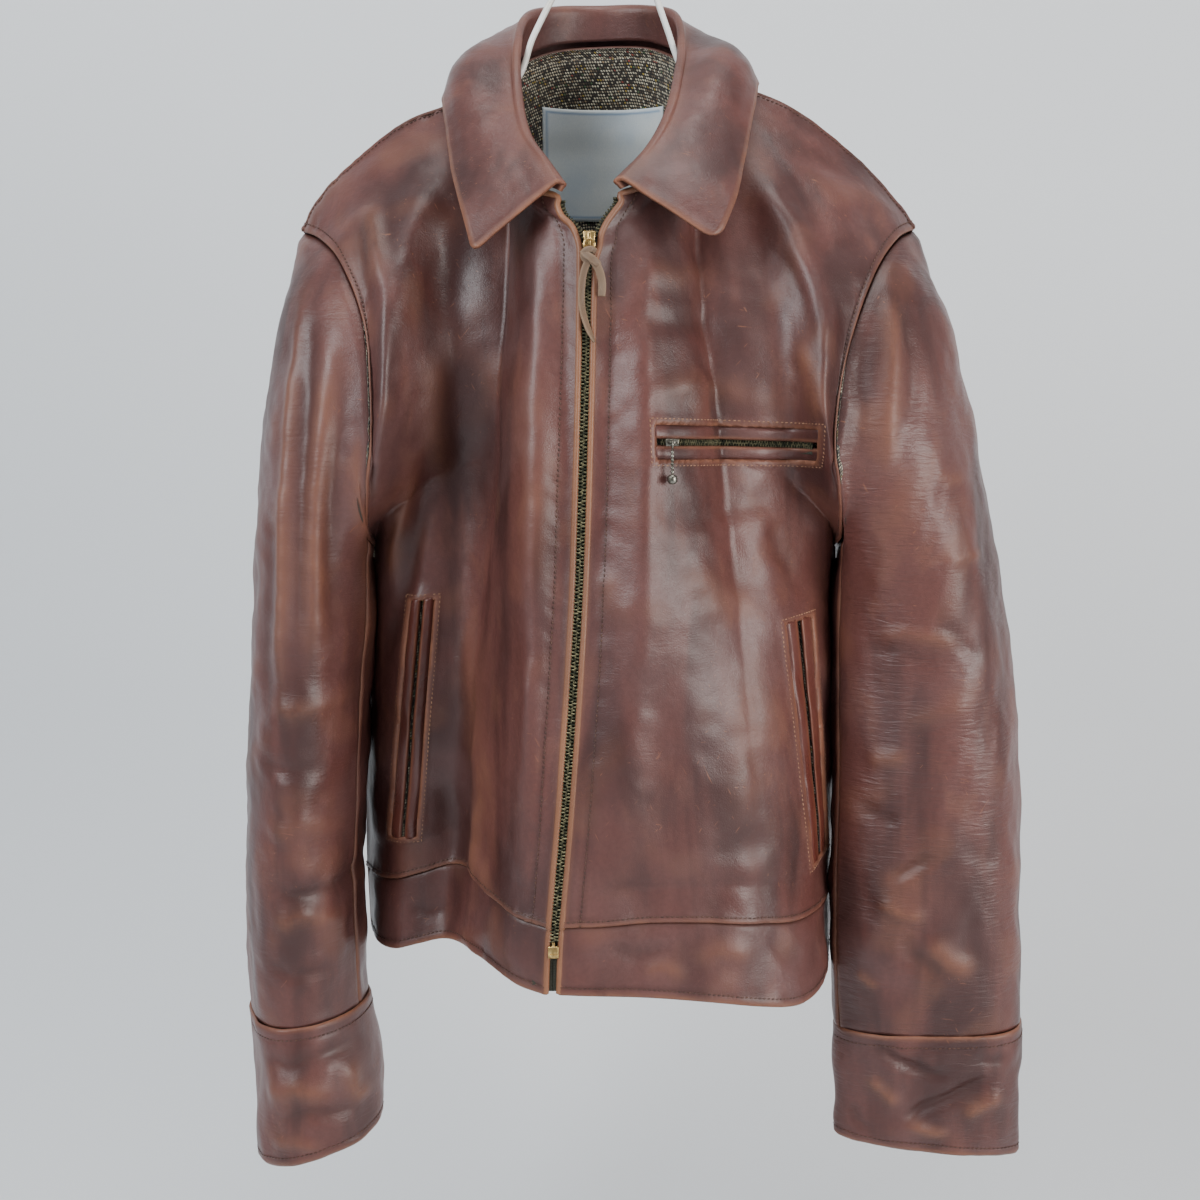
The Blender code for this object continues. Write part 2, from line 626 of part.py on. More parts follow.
def make_sleeve(side, grid):
    """Top sleeve, under sleeve and cuff of one side."""
    out = grid - grid.mean(axis=1, keepdims=True)
    out /= np.linalg.norm(out, axis=-1, keepdims=True)
    inner = grid - LEATHER * out
    cuff_row = CUFF_RING * CELLS_PER_RING
    around = np.arange(SLEEVE_AROUND)
    under = np.arange(FRONT_SEAM_CELL, BACK_SEAM_CELL + 1)
    over = np.arange(BACK_SEAM_CELL, FRONT_SEAM_CELL + SLEEVE_AROUND + 1) % SLEEVE_AROUND
    for name, columns in (("top_sleeve_", over), ("under_sleeve_", under)):
        outer_face = drawn_in(grid[: cuff_row + 1, columns])
        slab(name + side, outer_face, drawn_in(inner[: cuff_row + 1, columns]), HIDE)
    cuff, cuff_inner = grid[cuff_row:, around], inner[cuff_row:, around]
    slab("cuff_" + side, drawn_in(cuff, closed=True), drawn_in(cuff_inner, closed=True), HIDE, closed=True)


def collar_rows(skin):
    """Middle surface of the collar, from its seam up the stand, over the roll and down the leaf."""
    paths = [spline([station[i] for station in COLLAR_STATIONS]) for i in range(3)]
    shares = np.linspace(0, 1, COLLAR_CELLS + 1)
    seam, roll, edge = (path(shares) for path in paths)
    away = edge - seam
    away[:, 2] = 0
    away /= np.linalg.norm(away, axis=1, keepdims=True)
    up = np.array([0, 0, 1.0])
    short = np.clip(np.linalg.norm(roll - seam, axis=1) / STAND_HEIGHT, LOWEST_STAND, 1)[:, None]
    inside = roll - ROLL_HALF_WIDTH * away - ROLL_DROP * short * up
    outside = roll + ROLL_HALF_WIDTH * away - ROLL_DROP * short * up
    foot = seam + FOOT_CLEAR * (inside - seam) / np.linalg.norm(inside - seam, axis=1, keepdims=True)
    foot += FOOT_LIFT * body_outward(seam)
    rise = LEAF_BULGE * np.sin(math.pi * shares) ** LEAF_FADE_POWER
    for place, reach, height in SHOULDER_RISES:
        rise = rise + height * np.exp(-(((shares - place) / reach) ** 2))
    leaf = []
    for share, bulge in LEAF_ROWS:
        row = outside + share * (edge - outside)
        leaf.append(row + (rise * bulge)[:, None] * (BULGE_AWAY * away + BULGE_UP * up))
    for point in foot:
        gap = (Vector(point) - skin.find_nearest(Vector(point))[0]).length
        point[2] += max(0.0, FOOT_CLEAR - gap)
    rows = np.array([foot, (foot + inside) / 2, inside, roll, outside, *leaf])
    lowest_clear = COLLAR_LEATHER / 2 + LEAF_CLEAR
    for row in rows[4:]:
        for point in row:
            near = Vector(point)
            found = skin.find_nearest(near)[0]
            out = Vector(body_outward(np.array(found)[None])[0])
            above, gap = (near - found).dot(out), (near - found).length
            if above < -UNDER_SKIN_SHARE * gap:
                point[:] = found + lowest_clear * out
            elif gap < lowest_clear:
                point[:] = near + (lowest_clear - gap) * out
    return rows


def wall_of(name, rows, thickness, finish):
    """A wall of even thickness about a middle surface given as rows of points."""
    down = np.gradient(rows, axis=0)
    across = np.gradient(rows, axis=1)
    out = np.cross(across, down)
    out /= np.linalg.norm(out, axis=-1, keepdims=True)
    return slab(name, rows + out * thickness / 2, rows - out * thickness / 2, finish)


def make_lining(grids):
    """The tweed that shows inside the back of the neck, and the plain label on it."""
    back = grids["back"]
    area = back[: LINING_ROWS + 1, SHOULDER_CELLS : SHOULDER_CELLS + BACK_NECK_CELLS + 1]
    behind = LEATHER + LINING_CLEAR
    rows = drawn_in(area - behind * body_outward(area), LINING_EDGE)
    shown = rows - LINING_THICKNESS * body_outward(rows)
    slab("neck_lining", rows, shown, TWEED)
    skin = skin_of(shown)
    xs = np.linspace(LABEL_LEFT, LABEL_RIGHT, LABEL_COLUMNS)
    zs = np.linspace(LABEL_TOP, LABEL_BOTTOM, LABEL_ROWS)
    label = np.array([[(x, depth_at(skin, x, z) - LABEL_STANDOFF, z) for x in xs] for z in zs])
    front = label.copy()
    front[..., 1] -= LABEL_THICKNESS
    slab("neck_label", label, front, LABEL_CLOTH)


def quad_point(corners, u, v):
    """A point of a window, over u from left to right and v from top to bottom."""
    (a, b, c, d) = (np.array(corner, float) for corner in corners)
    return (1 - v) * ((1 - u) * a + u * b) + v * ((1 - u) * d + u * c)


def cut_window(panel, corners):
    """Cuts a pocket's opening straight through a front."""
    form = bmesh.new()
    rings = []
    for depth in (WINDOW_FRONT, WINDOW_BACK):
        rings.append([form.verts.new(Vector((x, depth, z)) * MM) for x, z in corners])
    near, far = rings
    form.faces.new(near)
    form.faces.new(far[::-1])
    for i in range(4):
        j = (i + 1) % 4
        form.faces.new((near[i], far[i], far[j], near[j]))
    bmesh.ops.recalc_face_normals(form, faces=form.faces[:])
    mesh = bpy.data.meshes.new("window_" + panel.name)
    form.to_mesh(mesh)
    form.free()
    cutter = bpy.data.objects.new("window_cutter", mesh)
    CUTTERS.objects.link(cutter)
    cutter.hide_render = True
    cutter.display_type = "WIRE"
    cut = panel.modifiers.new("pocket window", "BOOLEAN")
    cut.operation = "DIFFERENCE"
    # EXACT leaves nothing of a panel whose four-sided faces are this far from flat
    cut.solver = "MANIFOLD"
    cut.object = cutter


def make_welts(names, skin, corners, upright):
    """The two leather lips of a pocket, each from the window's edge to the slit between them."""
    along = np.linspace(0, 1, WELT_CELLS + 1)
    a, b, c, d = (np.array(corner, float) for corner in corners)
    width = np.linalg.norm((a + d - b - c) / 2) if upright else np.linalg.norm((a + b - c - d) / 2)
    edge_gap, slit = CLEAR / width, 0.5 - SLIT_HALF / width
    end_gap = CLEAR / (np.linalg.norm(d - a) if upright else np.linalg.norm(b - a))
    for name, low, high in ((names[0], edge_gap, slit), (names[1], 1 - slit, 1 - edge_gap)):
        grid = []
        for share in np.linspace(0, 1, WELT_ROWS):
            across = low + (high - low) * share
            row = []
            for step in end_gap + along * (1 - 2 * end_gap):
                x, z = quad_point(corners, across, step) if upright else quad_point(corners, step, across)
                proud = WELT_PROUD + WELT_CROWN * math.sin(math.pi * share)
                row.append((x, depth_at(skin, x, z) - proud, z))
            grid.append(row)
        outer = np.array(grid)
        inner = outer.copy()
        inner[..., 1] += LEATHER
        slab(name, outer, inner, HIDE)


def make_front_zip(skin):
    """The closed chain, and the tape on each side of it behind the fronts."""
    line = spline(ZIP_LINE)
    middle = line(np.linspace(ZIP_TOP_SHARE, ZIP_END_SHARE, CHAIN_CELLS + 1))
    tangent = np.gradient(middle, axis=0)
    side = np.stack([tangent[:, 2], np.zeros(len(tangent)), -tangent[:, 0]], axis=1)
    side *= CHAIN_WIDTH / 2 / np.linalg.norm(side, axis=1, keepdims=True)
    face = np.array([middle - side, middle + side]) - np.array([0, CHAIN_PROUD, 0])
    slab("zip_chain", face, face + np.array([0, CHAIN_THICKNESS, 0]), TEETH)
    for name, edge, towards in (("zip_tape_right", EDGE_RIGHT, -1), ("zip_tape_left", EDGE_LEFT, 1)):
        rows = []
        for step in TAPE_STEPS:
            row = []
            for x, y, z in spline(edge)(np.linspace(*TAPE_ENDS, TAPE_CELLS + 1)):
                under = depth_at(skin, x + towards * max(step, TAPE_STEPS[1]), z)
                depth = max(under + LEATHER + TAPE_BEHIND, y + CHAIN_THICKNESS + CLEAR)
                row.append((x + towards * step, depth, z))
            rows.append(row)
        face = np.array(rows)
        slab(name, face, face + np.array([0, TAPE_THICKNESS, 0]), TAPE)


def make_hanger():
    """Arms and bar bent from one coated wire, and the hook that is twisted onto them."""
    right = [(x, z) for x, z in RIGHT_ARM] + [(x, z - ARM_DROP) for x, _, z in SHOULDER_RIGHT[1:4]] + RIGHT_END
    left = [(x, z) for x, z in LEFT_ARM] + [(x, z - ARM_DROP) for x, _, z in SHOULDER_LEFT[1:4]] + LEFT_END
    loop = [(x, 0, z) for x, z in right + left[::-1]]
    wire("hanger_arms", spline(loop, 8)(np.linspace(0, 1, 72)), WIRE_DIAMETER, WIRE_COAT)
    # The bow's inner top is at the origin, where it rests on a rail
    centre_z = WIRE_DIAMETER / 2 - HOOK_RADIUS
    turns = np.radians(np.linspace(*HOOK_TURN, 20))
    bow = [(HOOK_RADIUS * math.cos(turn), 0, centre_z + HOOK_RADIUS * math.sin(turn)) for turn in turns]
    stem = [(0, 0, z) for z in HOOK_STEM]
    wire("hanger_hook", spline(stem + bow[1:], 6)(np.linspace(0, 1, 40)), WIRE_DIAMETER, WIRE_COAT)


def wire(name, points, diameter, finish, resolution=2):
    """A bent wire or lace: a poly curve with a round section and closed ends."""
    curve = bpy.data.curves.new(name, "CURVE")
    curve.dimensions = "3D"
    curve.bevel_depth = diameter / 2 * MM
    curve.bevel_resolution = resolution
    curve.use_fill_caps = True
    line = curve.splines.new("POLY")
    line.points.add(len(points) - 1)
    for point, place in zip(line.points, points):
        point.co = (*(Vector(place) * MM), 1)
    return add_piece(name, curve, finish)


def block(name, size, place, finish, bevel=0.4):
    """A small block with rounded edges."""
    form = bmesh.new()
    bmesh.ops.create_cube(form, size=1.0)
    bmesh.ops.scale(form, vec=Vector(size) * MM, verts=form.verts[:])
    bmesh.ops.bevel(
        form, geom=form.edges[:], offset=bevel * MM, segments=1, profile=0.5, affect="EDGES", material=-1
    )
    bmesh.ops.translate(form, vec=Vector(place) * MM, verts=form.verts[:])
    return finished(name, form, finish)


def ring(name, place, radius, wire_radius, axis, finish):
    """A round ring about the given axis."""
    bpy.ops.mesh.primitive_torus_add(
        major_radius=radius * MM, minor_radius=wire_radius * MM, major_segments=18, minor_segments=8
    )
    obj = bpy.context.object
    mesh = obj.data
    bpy.data.objects.remove(obj)
    turn = Vector((0, 0, 1)).rotation_difference(Vector(axis)).to_matrix().to_4x4()
    mesh.transform(Matrix.Translation(Vector(place) * MM) @ turn)
    mesh.name = name
    return add_piece(name, mesh, finish)


def turned(name, place, profile, finish, steps=8):
    """A piece turned about an upright line, from a profile of radius and height below the place."""
    mesh = bpy.data.meshes.new(name)
    points = [Vector((radius, 0, -down)) * MM for radius, down in profile]
    mesh.from_pydata(points, [(i, i + 1) for i in range(len(points) - 1)], [])
    obj = add_piece(name, mesh, finish)
    obj.location = Vector(place) * MM
    screw = obj.modifiers.new("turn", "SCREW")
    screw.steps = screw.render_steps = steps
    screw.use_merge_vertices = True
    screw.merge_threshold = 0.00001
    screw.use_normal_calculate = True
    return obj


def slider(name, place, size, bail_along, finish):
    """A zip's slider: its body and, fused to it, the bail that the pull hangs through."""
    x, y, z = place
    body = block(name, size, place, finish)
    front = y - size[1] / 2
    path = []
    for turn in np.radians(np.linspace(0, 180, 9)):
        offset = Vector(bail_along) * (BAIL_REACH * math.cos(turn))
        path.append((x + offset.x, front + BAIL_SINK - BAIL_RISE * math.sin(turn) ** 0.7, z + offset.z))
    guide = wire(name + "_bail", path, 2 * BAIL_WIRE, finish, resolution=1)
    graph = bpy.context.evaluated_depsgraph_get()
    mesh = bpy.data.meshes.new_from_object(guide.evaluated_get(graph))
    bpy.data.objects.remove(guide)
    form = bmesh.new()
    form.from_mesh(mesh)
    bmesh.ops.remove_doubles(form, verts=form.verts[:], dist=0.00001)
    form.to_mesh(mesh)
    form.free()
    bail = bpy.data.objects.new(name + "_bail", mesh)
    CUTTERS.objects.link(bail)
    bail.hide_render = True
    bail.display_type = "WIRE"
    union = body.modifiers.new("bail", "BOOLEAN")
    union.operation = "UNION"
    union.solver = "EXACT"
    union.object = bail
    return front


def make_breast_zip(skin):
    """The chain in the breast pocket's slit, its slider, and the ring and bead chain that hang from it."""
    rows = []
    for across in (0.5 - BREAST_CHAIN_HALF, 0.5 + BREAST_CHAIN_HALF):
        row = []
        for step in np.linspace(*BREAST_CHAIN_ENDS, 9):
            x, z = quad_point(BREAST_WINDOW, step, across)
            row.append((x, depth_at(skin, x, z) + BREAST_CHAIN_SINK, z))
        rows.append(row)
    face = np.array(rows)
    slab("breast_zip_chain", face, face + np.array([0, BREAST_CHAIN_THICKNESS, 0]), TEETH)
    x, z = quad_point(BREAST_WINDOW, BREAST_SLIDER_SHARE, 0.5)
    half = BREAST_SLIDER[0] / 2
    nearest = min(depth_at(skin, x + step, z) for step in (-half, 0, half))
    y = nearest - BREAST_SLIDER_STANDOFF - BREAST_SLIDER[1] / 2
    front = slider("breast_zip_slider", (x, y, z), BREAST_SLIDER, (1, 0, 0), OLD_METAL)
    bar_y = front + BAIL_SINK - BAIL_RISE
    ring_z = z - (BREAST_RING - BREAST_RING_WIRE - BAIL_WIRE - RING_CLEAR)
    ring("breast_pull_ring", (x, bar_y, ring_z), BREAST_RING, BREAST_RING_WIRE, (1, 0, 0), OLD_METAL)
    profile = [(0, 0), (0.5, 0.1)]
    for bead in range(BEADS):
        profile += [(radius, BEAD_TOP + bead * BEAD_PITCH + down) for radius, down in BEAD_PROFILE]
    profile += [(radius, BEAD_TOP + BEADS * BEAD_PITCH + down) for radius, down in BALL_PROFILE]
    low = ring_z - BREAST_RING - BREAST_RING_WIRE - RING_CLEAR
    turned("breast_pull_beads", (x, bar_y, low), profile, OLD_METAL)


def make_front_pull():
    """Slider of the front zip, its ring, and the knotted lace that is tied to the ring."""
    line = spline(ZIP_LINE)
    x, y, z = line(np.array([SLIDER_SHARE]))[0]
    place = (x, y - FRONT_SLIDER_STANDOFF - FRONT_SLIDER[1] / 2, z)
    front = slider("zip_slider", place, FRONT_SLIDER, (0, 0, 1), BRASS)
    ring_y = front + BAIL_SINK - BAIL_RISE + BAIL_WIRE + FRONT_RING_WIRE + RING_CLEAR
    ring_z = z + RING_CLEAR - FRONT_RING
    ring("zip_pull_ring", (x, ring_y, ring_z), FRONT_RING, FRONT_RING_WIRE, (0, 1, 0), BRASS)
    knot_z = ring_z - FRONT_RING - FRONT_RING_WIRE - KNOT_DROP
    form = bmesh.new()
    bmesh.ops.create_icosphere(form, subdivisions=2, radius=1.0)
    bmesh.ops.scale(form, vec=Vector(KNOT_HALF) * MM, verts=form.verts[:])
    bmesh.ops.translate(form, vec=Vector((x, ring_y, knot_z)) * MM, verts=form.verts[:])
    finished("pull_knot", form, HIDE_WORN)
    down_zip = line(np.linspace(0, 1, 60))

    def hanging(across, down):
        surface = np.interp(down - knot_z, -down_zip[:, 2], down_zip[:, 1])
        return (x + across, min(ring_y, surface - LACE_STANDOFF), knot_z - down)

    for name, tail, count in (("pull_lace_long", LONG_TAIL, 22), ("pull_lace_short", SHORT_TAIL, 10)):
        points = spline([hanging(*step) for step in tail])(np.linspace(0, 1, count))
        wire(name, points, LACE_DIAMETER, HIDE_WORN)
    x, y, z = line(np.array([BOX_SHARE]))[0]
    block("zip_bottom_box", BOTTOM_BOX, (x, y + BOTTOM_BOX_SINK, z), BRASS)


def main():
    clear_scene()
    curves = body_curves()
    grids = panel_grids(curves)
    body = make_body(grids)
    front_skin = skin_of(grids["right"], grids["left"])
    all_skin = skin_of(grids["right"], grids["left"], grids["back"])
    for side, front, back, stations in (
        ("right", ARMHOLE_FRONT_RIGHT, ARMHOLE_BACK_RIGHT, SLEEVE_RIGHT),
        ("left", ARMHOLE_FRONT_LEFT, ARMHOLE_BACK_LEFT, SLEEVE_LEFT),
    ):
        grid = sleeve_grid(front, back, stations)
        make_sleeve(side, sleeve_folds(grid, *SLEEVE_FOLDS[side]))
    wall_of("collar", collar_rows(all_skin), COLLAR_LEATHER, HIDE)
    make_lining(grids)
    cut_window(body["front_left"], BREAST_WINDOW)
    cut_window(body["front_right"], RIGHT_HAND_WINDOW)
    cut_window(body["front_left"], LEFT_HAND_WINDOW)
    make_welts(("breast_welt_upper", "breast_welt_lower"), front_skin, BREAST_WINDOW, upright=False)
    make_welts(("hand_welt_right_outer", "hand_welt_right_inner"), front_skin, RIGHT_HAND_WINDOW, upright=True)
    make_welts(("hand_welt_left_inner", "hand_welt_left_outer"), front_skin, LEFT_HAND_WINDOW, upright=True)
    make_front_zip(front_skin)
    make_breast_zip(front_skin)
    make_front_pull()
    make_hanger()


main()
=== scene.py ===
# %% [markdown]
# # A worn leather jacket on a wire hanger
#
# The jacket is heavy horsehide: two fronts, a back, two-piece sleeves, a hem band, cuffs and a
# turned-down collar, with a front zip and three welted pockets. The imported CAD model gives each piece
# its place and its moving bodies. This script dresses it: each leather panel is laid again on the same
# seam lines in small cells, so that it can carry creases, rolled edges and stitches.

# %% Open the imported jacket
import math

import bmesh
import bpy
import numpy as np
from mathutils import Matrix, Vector
from mathutils.bvhtree import BVHTree


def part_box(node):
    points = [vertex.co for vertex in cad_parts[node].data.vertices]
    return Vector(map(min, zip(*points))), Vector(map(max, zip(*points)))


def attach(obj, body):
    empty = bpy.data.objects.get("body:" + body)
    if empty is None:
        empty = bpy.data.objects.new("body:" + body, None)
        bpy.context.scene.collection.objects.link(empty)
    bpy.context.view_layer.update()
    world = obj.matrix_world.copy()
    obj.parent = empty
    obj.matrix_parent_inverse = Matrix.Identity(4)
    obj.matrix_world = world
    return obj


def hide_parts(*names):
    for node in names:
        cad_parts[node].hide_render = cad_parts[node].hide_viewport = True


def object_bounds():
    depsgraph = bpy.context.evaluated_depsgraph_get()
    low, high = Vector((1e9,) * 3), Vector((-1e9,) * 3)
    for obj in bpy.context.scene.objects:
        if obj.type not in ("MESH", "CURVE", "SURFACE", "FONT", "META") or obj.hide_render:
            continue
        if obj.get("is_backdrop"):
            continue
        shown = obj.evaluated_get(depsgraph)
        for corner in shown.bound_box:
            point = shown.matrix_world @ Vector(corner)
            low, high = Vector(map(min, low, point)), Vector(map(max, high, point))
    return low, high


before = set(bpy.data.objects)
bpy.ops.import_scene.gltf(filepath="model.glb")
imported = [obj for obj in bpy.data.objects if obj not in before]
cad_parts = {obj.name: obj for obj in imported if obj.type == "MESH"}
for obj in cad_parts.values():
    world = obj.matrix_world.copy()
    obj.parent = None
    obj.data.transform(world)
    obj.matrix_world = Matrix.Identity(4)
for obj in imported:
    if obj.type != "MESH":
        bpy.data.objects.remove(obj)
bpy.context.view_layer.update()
MM = 0.001

# %% [markdown]
# ## Where the picture is taken from
#
# The jacket is seen from a little above its middle, one metre away, with the camera tipped down. The
# same numbers serve for the whole scene, since the pieces are in the jacket's own coordinates.

# %% Camera
CAMERA_PLACE = (-0.010, -1.085, -0.397)
CAMERA_TILT = 82.5
CAMERA_LENS = 45.0

view = bpy.data.cameras.new("view")
view.lens = CAMERA_LENS
view.sensor_width = 36.0
view.sensor_fit = "HORIZONTAL"
view.clip_start = 0.01
camera = bpy.data.objects.new("view", view)
camera.location = CAMERA_PLACE
camera.rotation_euler = (math.radians(CAMERA_TILT), 0, 0)
bpy.context.scene.collection.objects.link(camera)
bpy.context.scene.camera = camera

# %% [markdown]
# ## Shader maths as ordinary sums
#
# A finish is a tree of nodes. `Value` wraps one socket, so that `1 - mask * 0.5` adds the Math nodes
# itself, and `Finish.node` adds any other node from its type, its settings and its sockets.


# %% Shader helpers
class Value:
    """A number that varies over a surface."""

    def __init__(self, finish, socket):
        self.finish, self.socket = finish, socket

    def math(self, operation, *others):
        sockets = dict(enumerate((self, *others)))
        return self.finish.node("ShaderNodeMath", {"operation": operation}, sockets)

    def __add__(self, other):
        return self.math("ADD", other)

    def __sub__(self, other):
        return self.math("SUBTRACT", other)

    def __rsub__(self, other):
        return (self * -1.0) + other

    def __mul__(self, other):
        return self.math("MULTIPLY", other)

    __radd__, __rmul__ = __add__, __mul__

    def between(self, low, high):
        """0 at low, 1 at high, smooth and held there."""
        sockets = {"Value": self, "From Min": low, "From Max": high}
        return self.finish.node("ShaderNodeMapRange", {"interpolation_type": "SMOOTHSTEP"}, sockets)


class Finish:
    """A material in the making."""

    def __init__(self, name, roughness=0.5, metallic=0.0):
        self.material = bpy.data.materials.new(name)
        self.material.use_nodes = True
        self.tree = self.material.node_tree
        self.shader = self.tree.nodes["Principled BSDF"]
        self.shader.inputs["Roughness"].default_value = roughness
        self.shader.inputs["Metallic"].default_value = metallic
        self.places = {}

    def put(self, socket, value):
        if isinstance(value, Value):
            self.tree.links.new(value.socket, socket)
        elif hasattr(value, "__len__") and len(value) == 3 and socket.type == "RGBA":
            socket.default_value = (*value, 1.0)
        else:
            socket.default_value = value

    def node(self, kind, settings=None, sockets=None, output=0):
        node = self.tree.nodes.new(kind)
        for name, setting in (settings or {}).items():
            setattr(node, name, setting)
        for name, value in (sockets or {}).items():
            self.put(node.inputs[name], value)
        return Value(self, node.outputs[output])

    def place(self, stretch=(1, 1, 1), turn=(0, 0, 0)):
        """Object coordinates in metres, turned and then stretched to make long grains."""
        if (stretch, turn) not in self.places:
            start = self.node("ShaderNodeTexCoord", output="Object")
            turned = self.node("ShaderNodeMapping", None, {"Vector": start, "Rotation": turn})
            sockets = {"Vector": turned, "Scale": stretch}
            self.places[stretch, turn] = self.node("ShaderNodeMapping", None, sockets)
        return self.places[stretch, turn]

    def noise(self, size, detail=2.0, stretch=(1, 1, 1), turn=(0, 0, 0), bend=0.0):
        """Clouds whose lumps are about this many millimetres across."""
        sockets = {"Vector": self.place(stretch, turn), "Scale": 1000.0 / size}
        sockets.update({"Detail": detail, "Distortion": bend})
        return self.node("ShaderNodeTexNoise", None, sockets)

    def cells(self, size):
        """Small cells this many millimetres across: the distance from the nearest cell wall."""
        sockets = {"Vector": self.place(), "Scale": 1000.0 / size}
        return self.node("ShaderNodeTexVoronoi", {"feature": "DISTANCE_TO_EDGE"}, sockets, "Distance")

    def mark(self, name):
        """A number that the piece's mesh carries at each point."""
        return self.node("ShaderNodeAttribute", {"attribute_name": name}, None, "Fac")

    def mix(self, share, first, second):
        sockets = {0: share, 6: first, 7: second}
        return self.node("ShaderNodeMix", {"data_type": "RGBA"}, sockets, 2)

    def colour(self, value):
        self.put(self.shader.inputs["Base Color"], value)

    def set(self, **constants):
        for name, value in constants.items():
            self.put(self.shader.inputs[name.replace("_", " ")], value)

    def raised(self, height_mm):
        """The surface's fine relief, from heights in millimetres."""
        sockets = {"Height": height_mm, "Distance": MM, "Strength": 1.0}
        self.put(self.shader.inputs["Normal"], self.node("ShaderNodeBump", None, sockets))


# %% [markdown]
# ## Oiled horsehide
#
# The hide is dyed red-brown over tan. Shade is painted into its colour in creases, stitch grooves, under
# tucked edges and in hollows, and the dye has worn to orange-tan on rolled edges and ridges. The grain is
# nearly smooth, with small pores, and thin pale scratches wander over it. The mesh carries the wear and
# the painted shade, and the rest comes from noise.


# %% Leather
SCRATCH_TURNS = (0.5, -0.7, 1.4)
SCRATCH_GRAIN = (1, 1, 0.09)


def leather(name, body, deep, tan, grey, gloss=0.36):
    """Dyed hide: its body colour, the oily dark, the tan under the dye and the greyed bloom."""
    hide = Finish(name)
    clouds = hide.noise(130, 3, bend=0.5)
    mottle = hide.noise(24, 5, stretch=(1, 1, 0.55), bend=0.6)
    streaks = hide.noise(42, 4, stretch=(1.0, 1.0, 0.22), bend=0.4)
    fine = hide.noise(3.0, 3)
    wear, painted_shade, crepe = hide.mark("wear"), hide.mark("painted_shade"), hide.mark("crepe")
    paint = hide.mix(streaks.between(0.38, 0.66), body, deep)
    paint = hide.mix(clouds.between(0.45, 0.70) * 0.55, paint, grey)
    paint = hide.mix(mottle.between(0.50, 0.72) * streaks.between(0.60, 0.40) * 0.20, paint, tan)
    paint = hide.mix((fine.between(0.35, 0.7) * 0.20), paint, deep)
    grains = [hide.noise(1.7, 1, stretch=SCRATCH_GRAIN, turn=(0, turn, 0)) for turn in SCRATCH_TURNS]
    thin = [grain.between(0.72, 0.79) for grain in grains]
    sparse = hide.noise(75, 1).between(0.52, 0.60)
    scratches = (thin[0] + thin[1] + thin[2]).math("MINIMUM", 1.0) * sparse * 0.45
    paint = hide.mix(scratches, paint, [1.2 * value for value in tan])
    # Painted shade: creases, stitch grooves, tucked edges and lump hollows are darkened towards a third of
    # the body colour.
    paint = hide.mix(painted_shade * 0.75, paint, [0.34 * value for value in body])
    patchy = wear * (0.55 + fine.between(0.3, 0.7) * 0.35 + mottle.between(0.35, 0.6) * 0.4)
    hide.colour(hide.mix(patchy.math("MINIMUM", 1.0), paint, tan))
    rough = gloss + mottle.between(0.3, 0.7) * 0.10 + wear * 0.16 + painted_shade * 0.08
    hide.put(hide.shader.inputs["Roughness"], rough)
    pores = hide.cells(1.5).between(0.0, 0.25) * 0.035
    wrinkles = hide.noise(3.4, 3, stretch=(0.16, 0.16, 1), bend=0.9).between(0.3, 0.7)
    wrinkles = wrinkles * (crepe * 0.30 + 0.04) * hide.noise(55, 2).between(0.35, 0.60)
    creping = hide.noise(3.0, 4, stretch=(1, 1, 1.8), bend=1.4) * 0.15
    rumple = hide.noise(13, 3, bend=0.6) * 0.40
    hide.raised(pores + creping + rumple + wrinkles)
    hide.set(Coat_Weight=0.06, Coat_Roughness=0.22, IOR=1.43)
    return hide.material


HIDE = leather(
    "horsehide", (0.112, 0.040, 0.033), (0.046, 0.017, 0.015), (0.22, 0.088, 0.048), (0.120, 0.060, 0.056)
)
ROLLED_HIDE = leather(
    "rolled edge", (0.27, 0.115, 0.055), (0.17, 0.068, 0.034), (0.36, 0.18, 0.09), (0.22, 0.11, 0.07),
    gloss=0.42,
)
LIP_HIDE = leather(
    "pocket lip", (0.105, 0.026, 0.018), (0.055, 0.018, 0.014), (0.20, 0.07, 0.035), (0.15, 0.07, 0.062),
    gloss=0.26,
)
WORN_HIDE = leather(
    "worn lace", (0.20, 0.125, 0.075), (0.11, 0.065, 0.038), (0.30, 0.20, 0.13), (0.26, 0.20, 0.15),
    gloss=0.6,
)

# %% [markdown]
# ## Cloth finishes
#
# The neck and the inside of the body are lined with a flecked tweed: thick yarns of black, brown and
# cream, with a few of red, yellow and green. Each yarn crossing is a Voronoi cell on the cloth's own
# flat map, so the weave follows the cloth. The zip's tape is a fine dark weave, and the label a satin.


# %% Tweed, tape and satin
def ramp(finish, value, stops):
    """Colours by value, held between the stops."""
    chosen = finish.node("ShaderNodeValToRGB", None, {"Fac": value}, "Color")
    node = chosen.socket.node
    node.color_ramp.interpolation = "CONSTANT"
    while len(node.color_ramp.elements) < len(stops):
        node.color_ramp.elements.new(1.0)
    for element, (place, colour) in zip(node.color_ramp.elements, stops):
        element.position, element.color = place, (*colour, 1.0)
    return chosen


def woven(finish, width_mm, length_mm, uneven):
    """Yarn crossings on the cloth's flat map: their height, and a chance number each."""
    flat = finish.node("ShaderNodeUVMap", {"uv_map": "cut"})
    sockets = {"Vector": flat, "Scale": (1000.0 / width_mm, 1000.0 / length_mm, 1.0)}
    yarns = finish.node("ShaderNodeMapping", None, sockets)
    sockets = {"Vector": yarns, "Scale": 1.0, "Randomness": uneven}
    gap = finish.node("ShaderNodeTexVoronoi", {"voronoi_dimensions": "2D"}, sockets, "Distance")
    tint = finish.node("ShaderNodeTexVoronoi", {"voronoi_dimensions": "2D"}, sockets, "Color")
    chance = finish.node("ShaderNodeSeparateColor", None, {"Color": tint}, "Red")
    return gap, chance


